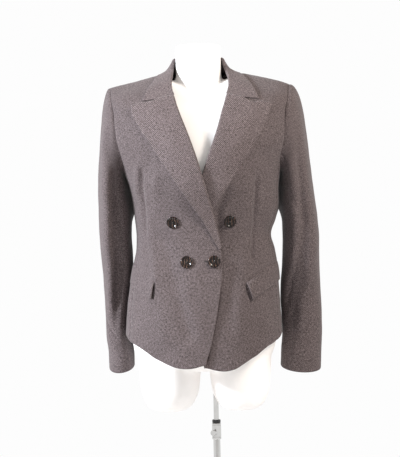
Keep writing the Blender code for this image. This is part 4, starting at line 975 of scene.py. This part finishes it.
def make_sleeve(side):
    """A two-piece sleeve: the top sleeve and, towards the body, the under sleeve."""
    head, arm = (np.linspace(0, 1, steps + 1) for steps in (SLEEVE_CAP_STEPS, SLEEVE_STEPS))
    steps = np.concatenate([head, 1 + arm[1:]])
    each = 360 / SLEEVE_SIDES / SLEEVE_FINE
    pieces = {
        "sleeve_under": np.arange(SLEEVE_SEAMS[0], SLEEVE_SEAMS[1] + each / 2, each),
        "sleeve_top": np.arange(SLEEVE_SEAMS[1], SLEEVE_SEAMS[0] + 360 + each / 2, each),
    }
    made = []
    for piece, angles in pieces.items():
        grid_angle, grid_step = np.meshgrid(angles.astype(float), steps)
        grid_angle[:, 0] += SLEEVE_SEAM_TURNS
        grid_angle[:, -1] -= SLEEVE_SEAM_TURNS
        outer = sleeve_surface(grid_angle, grid_step, side)
        nudge = 0.01
        low_step = np.where(grid_step > nudge, grid_step - nudge, grid_step)
        round_arm, down_arm = (
            sleeve_surface(*ahead, side) - sleeve_surface(*back, side)
            for ahead, back in (
                ((grid_angle + 1, grid_step), (grid_angle - 1, grid_step)),
                ((grid_angle, grid_step + nudge), (grid_angle, low_step)),
            )
        )
        normal = unit(np.cross(round_arm, down_arm)) * side
        flat = np.stack([np.mod(grid_angle, 360) * SLEEVE_TURN, outer[..., 2]], axis=-1)
        drape = unevenness(outer, SLEEVE_UNEVEN, 2 * side) - creases(flat, FOLDS[sided("sleeve", side)])
        outer = outer + normal * (drape * smooth_step(0.0, 0.5, grid_step))[..., None]
        # At the armhole the wall is level with the body's, so that the two edges meet face to face.
        points, body_normal, into = armhole_loop(np.mod(grid_angle[0], 360), side)
        seam_gap = np.linalg.norm(outer - outer[:1], axis=-1)
        outer -= body_normal[None] * (SEAM_SINK * np.exp(-((seam_gap / SEAM_SOFT) ** 2)))[..., None]
        towards = np.array(ARM_MIDDLE) * (side, 1, 1) - points
        towards -= into * np.sum(towards * into, axis=-1, keepdims=True)
        level = (1 - smooth_step(0.0, 0.16, grid_step))[..., None]
        normal = unit(normal * (1 - level) - unit(towards)[None] * level)
        inner = outer - normal * CLOTH
        cut = flat_cut(outer, outer.shape[1] // 2)
        soft = (False, True, True, True)  # the armhole's edge stays square
        made.append(cloth(sided(piece, side), outer, inner, cut, SLEEVE_WOOL, soft))
    return made


# ---- lapels and collar
LAPEL_GAP = 0.0008  # clearance between the front's edge and its lapel
LAPEL_TOP_ARCH = {LEFT: 0.0, RIGHT: 0.0018}  # how far the lapel's top edge bows up to its peak
# Each lapel's notch: how far out it is, how wide and how deep.
NOTCH = {LEFT: (0.1085, 0.0150, 0.0050), RIGHT: (0.1010, 0.0135, 0.0034)}
LAPEL_SOFTNESS = {LEFT: 0.0045, RIGHT: 0.0040}  # how much higher the fold is where it rolls softly
LAPEL_EDGE_LIFT = {LEFT: 0.0024, RIGHT: 0.0038}  # how much the outer edge stands off there
LAPEL_LOW_LIFT = {LEFT: 0.0042, RIGHT: 0.0012}  # and low down, where it bridges a hollow
LAPEL_SOFT_HEIGHTS = {LEFT: (1.19, 1.25), RIGHT: (1.05, 1.16)}
LAPEL_STEPS, LAPEL_FOLD_POINTS, LAPEL_FLAT_POINTS = 120, 13, 36


def make_lapel(side):
    """A peak lapel: the front's edge turned over at the fold line, lying on the front."""
    share = np.linspace(0, 1, LAPEL_STEPS + 1)
    fold_height = BREAK_HEIGHT + (GORGE_HEIGHT - BREAK_HEIGHT) * share
    fold_reach = front_edge_reach(fold_height, side)
    first, last = LAPEL_EDGE[side][0].height, LAPEL_EDGE[side][-1].height
    edge_height = first + (last - first) * share
    edge_reach = read(LAPEL_EDGE[side], "reach", "height", edge_height)
    width = np.hypot(edge_reach - fold_reach, edge_height - fold_height)
    soft = smooth_step(*LAPEL_SOFT_HEIGHTS[side], fold_height)
    radius = (ROLL_FOLD + LAPEL_SOFTNESS[side] * soft) / 2
    edge_lift = ROLL_FOLD + LAPEL_EDGE_LIFT[side] * soft
    low = LAPEL_LOW_LIFT[side] * smooth_step(1.075, 1.11, edge_height)
    edge_lift += low * (1 - smooth_step(1.15, 1.20, edge_height))
    # The section across the lapel as distances from the fold line, heights above the panel's
    # middle, and the section's own outward direction: first round the fold, then flat.
    section = []
    for angle in np.radians(np.linspace(-90, 90, LAPEL_FOLD_POINTS)):
        out, up = -math.cos(angle), math.sin(angle)
        section.append((radius * out - LAPEL_GAP, radius + radius * up, out, up))
    for f in np.arange(1, LAPEL_FLAT_POINTS + 1) / LAPEL_FLAT_POINTS:
        section.append((width * f, 2 * radius + (edge_lift - 2 * radius) * smooth_step(0, 1, f), 0, 1))
    along, lift, out_along, out_lift = (
        np.stack([np.broadcast_to(number, share.shape) for number in column], axis=1)
        for column in zip(*section)
    )

    def laid(d):
        """Reach and height this share of the way from the fold line to the outer edge."""
        return (
            fold_reach[:, None] + (edge_reach - fold_reach)[:, None] * d,
            fold_height[:, None] + (edge_height - fold_height)[:, None] * d,
        )

    def grid(offset):
        d = (along + out_along * offset) / width[:, None]
        reach, height = laid(d)
        height += LAPEL_TOP_ARCH[side] * (share[:, None] ** 6) * 4 * d * (1 - d)
        at, wide, deep = NOTCH[side]
        height -= deep * np.exp(-(((reach - at) / wide) ** 4)) * smooth_step(0.88, 1.0, share[:, None])
        return on_front(reach * side, height, side, lift + out_lift * offset - CLOTH / 2)

    over = np.maximum(along, 0) + np.minimum(along, 0) * 1.5
    flat = np.stack(laid(over / width[:, None]), axis=-1)
    return cloth(sided("lapel", side), grid(CLOTH / 2), grid(-CLOTH / 2), flat, LAPEL_WOOL_PAINTED_LIGHTER)


COLLAR_STEPS = 60  # from the middle of the back to each gorge


def collar_points(place_along, side):
    """The middle of the collar's cloth across one station: stand, fold, fall."""
    at = np.interp(place_along, [station.place for station in COLLAR], np.arange(len(COLLAR)))
    row = Station(*through(COLLAR, at))
    face = BACK_FACE if place_along < SHOULDER_PLACE else FRONT_FACE
    aside = COLLAR_ASIDE[side] * smooth_step(0.50, 0.84, place_along)
    bridge = COLLAR_BRIDGE * math.exp(-(((place_along - SHOULDER_PLACE) / 0.13) ** 2))
    ends = []
    for reach, height in ((row.neck_reach, row.neck_height), (row.edge_reach, row.edge_height)):
        turn, line = place((reach + aside) * side, height, face)
        point = torso(turn, line)
        lift = CLOTH / 2 + COLLAR_SEAT + bridge + lap_lift(point, side)
        ends.append(point + torso_normal(turn, line) * lift)
    neck, edge = ends
    fold = np.array([(row.fold_x + aside) * side, row.fold_y, row.fold_z])
    up = unit(fold - neck)
    out = edge - neck
    out = unit(out - up * np.dot(out, up))
    centre = fold - up * COLLAR_FOLD
    points = [neck + (centre - out * COLLAR_FOLD - neck) * f for f in (0, 0.2, 0.4, 0.6, 0.8)]
    for angle in np.radians(np.linspace(180, 0, 11)):
        points.append(centre + COLLAR_FOLD * (math.cos(angle) * out + math.sin(angle) * up))
    start = points[-1]
    belly = row.belly * unit(out + up)
    for f in np.linspace(0, 1, 15)[1:]:
        points.append(start + (edge - start) * f + belly * 4 * f * (1 - f))
    return np.array(points)


def make_collar():
    half = np.linspace(0, 1, COLLAR_STEPS + 1)
    places = np.concatenate([-half[::-1], half[1:]])
    middle = np.array([collar_points(abs(at), LEFT if at >= 0 else RIGHT) for at in places])
    normal = unit(np.cross(np.gradient(middle, axis=0), np.gradient(middle, axis=1)))
    outer, inner = middle + normal * CLOTH / 2, middle - normal * CLOTH / 2
    return cloth("collar", outer, inner, flat_cut(middle, 10), LAPEL_WOOL_PAINTED_LIGHTER)


# ---- pockets
# A flap's two front corners as (x, z), the heights of its back end, how far its top is sunk, and
# how far its foot stands off at its front and back ends.
Flap = namedtuple("Flap", "top foot top_end foot_end sunk ahead behind")
FLAPS = {
    LEFT: Flap((0.0880, 0.9715), (0.0978, 0.9370), 1.0110, 0.9730, 0.0006, 0.0056, 0.0018),
    RIGHT: Flap((-0.0945, 0.9765), (-0.1005, 0.9420), 1.0140, 0.9720, 0.0012, 0.0050, 0.0002),
}
FLAP_END = 86.0  # the turn at which a flap ends, behind the sleeve
FLAP_POINTS, WELT_POINTS = (61, 25), (41, 17)  # across and up
FLAP_SUNK = 0.0007  # how far a flap's inner face lies in the front's cloth
WELT_INNER, WELT_OUTER, WELT_TOP = 0.078, 0.1490, 1.2455
WELT_HEIGHT, WELT_RISE, WELT_THICK = 0.0225, 0.0035, 0.0012


def make_flap(side):
    """A slanting pocket flap: sewn in along its top, a little proud along its foot."""
    flap = FLAPS[side]
    across, up = np.meshgrid(np.linspace(0, 1, FLAP_POINTS[0]), np.linspace(0, 1, FLAP_POINTS[1]))
    top_turn, foot_turn = (abs(place(*corner)[0]) for corner in (flap.top, flap.foot))
    first = foot_turn + (top_turn - foot_turn) * up
    turns = first + (FLAP_END - first) * across
    # Seen from the front the flap's long edges are straight.
    share = (np.sin(np.radians(turns)) - np.sin(np.radians(first))) / (1 - np.sin(np.radians(first)))
    heights = (flap.foot[1] + (flap.foot_end - flap.foot[1]) * share) * (1 - up)
    heights += (flap.top[1] + (flap.top_end - flap.top[1]) * share) * up
    stand = flap.behind + (flap.ahead - flap.behind) * np.exp(-((across / 0.09) ** 2))
    lift = -FLAP_SUNK - flap.sunk * up**2 + stand * (1 - up**4)
    rows = row_at_height(heights)
    inner, outer = (over_front(turns * side, rows, side, lift + thick) for thick in (0, CLOTH))
    return cloth(sided("flap", side), outer, inner, flat_cut(outer, 0), BODY_WOOL)


def make_welt():
    """The breast pocket's welt, on the wearer's left front, its inner end under the lapel."""
    f, g = np.meshgrid(np.linspace(0, 1, WELT_POINTS[0]), np.linspace(0, 1, WELT_POINTS[1]))
    x = WELT_INNER + (WELT_OUTER - WELT_INNER) * f - 0.004 * (1 - g)
    z = WELT_TOP - WELT_HEIGHT * (1 - g) + WELT_RISE * f
    lift = -0.0013 + 0.0024 * g**1.5
    inner, outer = (on_front(x, z, LEFT, lift + thick) for thick in (0, WELT_THICK))
    return cloth("breast_welt", outer, inner, flat_cut(outer, 0), BODY_WOOL)


# ---- buttons
Button = namedtuple("Button", "name x z side spin")
BUTTONS = [
    Button("button_upper_right", -0.0570, 1.0985, RIGHT, 12),
    Button("button_lower_right", -0.0320, 1.0160, RIGHT, -20),
    Button("button_fastened", 0.0225, 1.0160, RIGHT, 35),
    Button("button_upper_left", 0.0568, 1.0970, LEFT, 5),
]
BUTTON_SEAT = 0.0009  # how far a button stands off the cloth
HOLE_RADIUS, HOLE_SPACING = 0.0011, 0.0021
THREAD_RADIUS = 0.00062
# A button's section from the middle of its dished face over the rim to its underside, as shares of
# its radius and its thickness.
BUTTON_PROFILE = (
    (0, 0.50), (0.30, 0.50), (0.52, 0.53), (0.62, 0.60), (0.70, 0.80), (0.78, 0.95), (0.86, 1), (0.93, 0.96),
    (0.985, 0.80), (1, 0.58), (0.985, 0.36), (0.92, 0.14), (0.80, 0), (0, 0),
)
BUTTONHOLE = (0.0028, -0.0215, 0.0012)  # from and to along X past the button's middle, half width


def baked(made):
    """The object with its modifiers applied."""
    graph = bpy.context.evaluated_depsgraph_get()
    mesh = bpy.data.meshes.new_from_object(made.evaluated_get(graph), depsgraph=graph)
    made.modifiers.clear()
    made.data = mesh
    return made


def cut_away(made, name, source):
    """Cuts a bmesh out of the object."""
    tool = linked(name, source)
    drill = made.modifiers.new(name, "BOOLEAN")
    drill.operation, drill.object, drill.solver = "DIFFERENCE", tool, "EXACT"
    baked(made)
    bpy.data.objects.remove(tool, do_unlink=True)


def spun(profile, steps, closed=False):
    """A bmesh turned from a profile of (radius, height) about Z."""
    made = bmesh.new()
    points = [made.verts.new((radius, 0, height)) for radius, height in profile]
    edges = [made.edges.new(pair) for pair in zip(points, points[1:])]
    if closed:
        edges.append(made.edges.new((points[-1], points[0])))
    bmesh.ops.spin(
        made, geom=points + edges, cent=(0, 0, 0), axis=(0, 0, 1), angle=math.tau, steps=steps, use_merge=True
    )
    bmesh.ops.remove_doubles(made, verts=made.verts, dist=1e-6)
    return made


def rod(target, radius, depth, segments):
    """Adds a capped cylinder along Z to a bmesh and returns its vertices."""
    return bmesh.ops.create_cone(
        target, cap_ends=True, segments=segments, radius1=radius, radius2=radius, depth=depth
    )["verts"]


def button_frame(button):
    """The place and turn of a button on its front."""
    turn, row = place(button.x, button.z)
    seat = Vector(over_front(turn, row, button.side, BUTTON_SEAT))
    facing = Vector(torso_normal(turn, row)).to_track_quat("Z", "Y").to_matrix().to_4x4()
    return Matrix.Translation(seat) @ facing @ Matrix.Rotation(math.radians(button.spin), 4, "Z")


def make_button(button):
    """A four-hole horn button with a dished face and a raised rim, sewn on with crossed thread."""
    r, t = BUTTON_RADIUS, BUTTON_THICK
    body = spun([(r * out, t * up) for out, up in BUTTON_PROFILE], 56)
    made = show(button.name + "_horn", body, HORN, node=button.name, smooth=50)
    holes = bmesh.new()
    for quarter in range(4):
        turn = math.radians(45 + 90 * quarter)
        hole = rod(holes, HOLE_RADIUS, 4 * t, 20)
        shift = (HOLE_SPACING * math.cos(turn), HOLE_SPACING * math.sin(turn), 0)
        bmesh.ops.translate(holes, verts=hole, vec=shift)
    bmesh.ops.recalc_face_normals(holes, faces=holes.faces)
    cut_away(made, "holes", holes)
    frame_of_button = button_frame(button)
    made.data.transform(frame_of_button)
    # Two crossed bars of thread over the face.
    thread = bmesh.new()
    for turn, over in ((45, 0), (135, 0.0003)):
        bar = rod(thread, THREAD_RADIUS, 2 * HOLE_SPACING, 10)
        for degrees, axis in ((90, "Y"), (turn, "Z")):
            matrix = Matrix.Rotation(math.radians(degrees), 3, axis)
            bmesh.ops.rotate(thread, verts=bar, cent=(0, 0, 0), matrix=matrix)
        bmesh.ops.translate(thread, verts=bar, vec=(0, 0, t * 0.56 + over))
    crossed = show(button.name + "_thread", thread, THREAD)
    crossed.data.transform(frame_of_button)


def make_buttonhole():
    """The worked buttonhole that the fastened button's shank has pulled to its far end."""
    button = BUTTONS[2]
    start, end, half = BUTTONHOLE
    slit = bmesh.new()
    bmesh.ops.create_grid(slit, x_segments=60, y_segments=8, size=0.5)
    low = bmesh.ops.extrude_face_region(slit, geom=slit.faces[:], use_keep_orig=True)
    upper = {item for item in low["geom"] if isinstance(item, bmesh.types.BMVert)}
    verts = slit.verts[:]
    x = np.array([button.x + start + (end - start) * (vert.co.x + 0.5) for vert in verts])
    bow = np.array([(1 - (2 * abs(vert.co.x)) ** 8) * vert.co.y * 2 for vert in verts])
    z = button.z + 0.0004 + bow * half
    welt = [0.0008 * (1 - (2 * vert.co.y) ** 2) + 0.00005 if vert in upper else 0.0 for vert in verts]
    rise = np.array([0.0003 + part for part in welt])
    for vert, point in zip(verts, on_front(x, z, RIGHT, rise)):
        vert.co = point
    return show("buttonhole", slit, BUTTONHOLE_THREAD)


# ---- the form and its stand
FORM_FINE = 96


def form_loft(rings):
    """A closed body through rings of points."""
    body = bmesh.new()
    station = body.verts.layers.int.new("station")
    bmesh.ops.create_circle(body, cap_ends=True, segments=len(rings[0]), radius=1.0)
    cap = body.faces[:]
    for number, vert in enumerate(cap[0].verts):
        vert[station] = number
        vert.co = rings[0][number]
    for level, ring in enumerate(rings[1:]):
        grown = bmesh.ops.extrude_face_region(body, geom=cap)
        if level > 0:
            bmesh.ops.delete(body, geom=[face for face in cap if face.is_valid], context="FACES_ONLY")
        cap = [item for item in grown["geom"] if isinstance(item, bmesh.types.BMFace)]
        for vert in cap[0].verts:
            vert.co = ring[vert[station]]
    return body


def ellipse(x, y, z, half, front, back, sides=FORM_FINE):
    """One level ring: half as wide each side, with its own depth to the front and to the back."""
    turns = np.arange(sides) * math.tau / sides
    cosine = np.cos(turns)
    depth = np.where(cosine > 0, front, back)
    return np.stack([x + half * np.sin(turns), y - depth * cosine, np.full(sides, z)], axis=-1)


def form_ring(row):
    """One ring of the dress form, with its own height ahead, beside and behind."""
    ahead, beside, behind, half, middle, front, back = row
    ring = ellipse(0, middle, beside, half, front, back)
    cosine = np.cos(np.arange(FORM_FINE) * math.tau / FORM_FINE)
    end = np.where(cosine > 0, ahead, behind)
    ring[:, 2] += (end - beside) * cosine**2
    return ring


FORM_VOXEL = 0.0042
FORM_BETWEEN = 5  # steps from one row of the form's tables to the next
STUB_MIDDLE = 0.004  # how far behind the body's middle the stubs are


def make_form():
    """The limbless form: body and two stubs grown into one smooth skin, with the pole's socket."""
    levels = np.linspace(0, len(FORM) - 2, FORM_BETWEEN * (len(FORM) - 2) + 1)
    rows = list(through(FORM, levels)) + [np.array(FORM[-1])]
    body = form_loft([form_ring(row) for row in rows])
    for side in (LEFT, RIGHT):
        steps = np.linspace(0, len(STUB) - 1, FORM_BETWEEN * (len(STUB) - 1) + 1)
        rings = [
            ellipse(side * middle, STUB_MIDDLE, height, half, depth, depth)
            for height, middle, half, depth in through(STUB, steps)
        ]
        stub = form_loft(rings)
        bmesh.ops.recalc_face_normals(stub, faces=stub.faces)
        mesh = bpy.data.meshes.new("stub")
        stub.to_mesh(mesh)
        stub.free()
        body.from_mesh(mesh)
        bpy.data.meshes.remove(mesh)
    bmesh.ops.recalc_face_normals(body, faces=body.faces)
    made = show("dress_form_skin", body, SHELL, node="dress_form", smooth=180)
    remesh = made.modifiers.new("one_skin", "REMESH")
    remesh.mode, remesh.voxel_size, remesh.use_smooth_shade = "VOXEL", FORM_VOXEL, True
    soften = made.modifiers.new("soften", "SMOOTH")
    soften.factor, soften.iterations = 0.5, 6
    baked(made)
    bore = bmesh.new()
    rod(bore, POLE_RADIUS + RUNNING, SOCKET_TOP - SOCKET_FOOT, 64)
    middle = (POLE_AXIS.x, POLE_AXIS.y, (SOCKET_TOP + SOCKET_FOOT) / 2)
    bmesh.ops.translate(bore, verts=bore.verts, vec=middle)
    cut_away(made, "bore", bore)
    made.data.materials.clear()
    made.data.materials.append(SHELL)
    made.data.shade_smooth()
    made.data.set_sharp_from_angle(angle=math.radians(50))
    return made


def turned(name, profile, finish, body, node, steps=72, closed=False, move=None):
    """A round piece turned from a profile of (radius, height) about the stand's axis."""
    made = spun(profile, steps, closed)
    bmesh.ops.transform(made, verts=made.verts, matrix=move or Matrix.Translation(POLE_AXIS))
    show(name, made, finish, body=body, node=node, smooth=35)


def make_stand():
    """The pole, its tube, the clamp's black ring and bright collar, and the round base."""
    c = 0.0006  # the width of an edge's chamfer
    out, low, top = POLE_RADIUS, POLE_FOOT, POLE_TOP
    profile = [(0, low), (out - c, low), (out, low + c), (out, top - c), (out - c, top), (0, top)]
    turned("pole_bright", profile, CHROME, "pole", "pole")
    bore, out, low, top = POLE_RADIUS + RUNNING, TUBE_RADIUS, BASE_THICK + SEAM, TUBE_TOP
    profile = [
        (0, low), (out - c, low), (out, low + c), (out, top - c), (out - c * 0.6, top), (bore, top),
        (bore, TUBE_FLOOR), (0, TUBE_FLOOR),
    ]
    turned("tube_bright", profile, CHROME, "stand", "stand_tube")
    out, low, top = RING_RADIUS, TUBE_TOP + SEAM, TUBE_TOP + SEAM + RING_HEIGHT
    profile = [
        (bore, low), (out - c, low), (out, low + c), (out, top - 2 * c), (out - c, top - c * 0.6),
        (out - 3 * c, top), (bore, top),
    ]
    turned("ring_black", profile, PLASTIC, "stand", "clamp_ring", closed=True)
    bore, out, top = TUBE_RADIUS + SEAM, CLAMP_RADIUS, TUBE_TOP - 0.0005
    low = top - CLAMP_HEIGHT
    profile = [
        (bore, low), (out - c, low), (out, low + c), (out, low + 0.004), (out - c, low + 0.0046),
        (out - c, low + 0.0054), (out, low + 0.006), (out, top - 0.004), (out - c, top - 0.0034),
        (out - c, top - 0.0026), (out, top - 0.002), (out, top - c), (out - c, top), (bore, top),
    ]
    turned("clamp_bright", profile, CHROME, "stand", "clamp_collar", closed=True)
    out, top = BASE_RADIUS, BASE_THICK
    profile = [
        (0, top), (0.014, top), (0.06, top * 0.95), (0.12, top * 0.88), (out - 0.012, top * 0.8),
        (out - 0.006, top * 0.72), (out - 0.0025, top * 0.55), (out, 0.003), (out, 0.0012),
        (out - 0.001, 0.0), (0, 0),
    ]
    turned("base_disc", profile, BASE_CHROME, "stand", "base_plate", steps=128)


def make_knob():
    """The clamp's knob: a short stem and a round head."""
    facing = Matrix.Rotation(math.radians(KNOB_TURN), 4, "Z") @ Matrix.Rotation(math.radians(90), 4, "X")
    move = Matrix.Translation(POLE_AXIS + Vector((0, 0, KNOB_HEIGHT))) @ facing
    r, c, stem = KNOB_RADIUS, 0.0005, 0.45 * KNOB_RADIUS
    low = CLAMP_RADIUS + SEAM
    end = low + KNOB_LENGTH
    profile = [
        (0, low), (stem, low), (stem, low + 0.0025), (r - c, low + 0.003), (r, low + 0.003 + c), (r, end - c),
        (r - c, end), (0, end - 0.0002),
    ]
    turned("knob_bright", profile, CHROME, "knob", "clamp_knob", steps=48, move=move)


# ---- put together
cloths = []
for side in (LEFT, RIGHT):
    cloths += [make_front(side), make_side(side), make_back(side), *make_sleeve(side)]
    cloths += [make_lapel(side), make_flap(side)]
cloths += [make_collar(), make_welt()]
for button in BUTTONS:
    make_button(button)
make_buttonhole()
make_form()
make_stand()
make_knob()

# The size of a piece of cloth as it was cut, with its hems turned in: width, length and area in metres.
Cut = namedtuple("Cut", "width length area")


# ---- room, light and camera
def make_floor():
    floor = bmesh.new()
    bmesh.ops.create_circle(floor, cap_ends=True, segments=96, radius=1.15)
    bmesh.ops.translate(floor, verts=floor.verts, vec=(0, 0, -0.0005))
    made = linked("floor", floor)
    made.data.materials.append(pale_floor("floor_pale"))


# How bright the room is, from straight down (-1) to straight up (1).
ROOM = [(-1.0, 0.68), (-0.40, 0.68), (-0.24, 1.0), (0.20, 1.0), (0.42, 0.55), (1.0, 0.55)]
ROOM_STRENGTH = 0.982
CAMERA_AT = (0, -3.0, 1.15)
CAMERA_ROLL = 1.3  # degrees
LENS, LENS_SHIFT = 112.53, (-0.00276, -0.0712)
LIT = (0, 0, 1.15)  # where both lamps point


def soft_light(name, at, size, watts, colour):
    lamp = bpy.data.lights.new(name, "AREA")
    lamp.energy, lamp.size, lamp.color = watts, size, colour
    made = bpy.data.objects.new(name, lamp)
    made.location = at
    made.rotation_euler = (Vector(LIT) - Vector(at)).to_track_quat("-Z", "Y").to_euler()
    bpy.context.scene.collection.objects.link(made)


def make_world():
    """A white room, dimmer overhead and underfoot than round the sides."""
    world = bpy.data.worlds.new("white_room")
    world.use_nodes = True
    nodes, links = world.node_tree.nodes, world.node_tree.links
    direction = nodes.new("ShaderNodeTexCoord")
    split = nodes.new("ShaderNodeSeparateXYZ")
    share = nodes.new("ShaderNodeMapRange")
    share.inputs["From Min"].default_value = -1.0
    ramp = nodes.new("ShaderNodeValToRGB")
    while len(ramp.color_ramp.elements) < len(ROOM):
        ramp.color_ramp.elements.new(1.0)
    for element, (height, grey) in zip(ramp.color_ramp.elements, ROOM):
        element.position, element.color = (height + 1) / 2, (grey, grey**1.06, grey**1.12, 1.0)
    links.new(direction.outputs["Generated"], split.inputs[0])
    links.new(split.outputs["Z"], share.inputs["Value"])
    links.new(share.outputs[0], ramp.inputs[0])
    background = nodes["Background"]
    links.new(ramp.outputs["Color"], background.inputs["Color"])
    background.inputs["Strength"].default_value = ROOM_STRENGTH
    bpy.context.scene.world = world
    bpy.context.scene.view_settings.view_transform = "Standard"


def make_camera():
    lens = bpy.data.cameras.new("camera")
    lens.lens, lens.sensor_width = LENS, 36.0
    lens.shift_x, lens.shift_y = LENS_SHIFT
    made = bpy.data.objects.new("camera", lens)
    roll = math.radians(CAMERA_ROLL)
    right, up = (math.cos(roll), 0, -math.sin(roll)), (math.sin(roll), 0, math.cos(roll))
    turned_to = Matrix((right, up, (0, -1, 0))).transposed().to_4x4()
    made.matrix_world = Matrix.Translation(CAMERA_AT) @ turned_to
    bpy.context.scene.collection.objects.link(made)
    bpy.context.scene.camera = made


make_floor()
make_camera()
make_world()
soft_light("key", (-2.15, -1.00, 1.95), 0.4, 130, (0.92, 0.98, 1.06))
soft_light("fill", (1.30, -1.00, 2.20), 0.5, 33, (1.0, 0.93, 0.85))
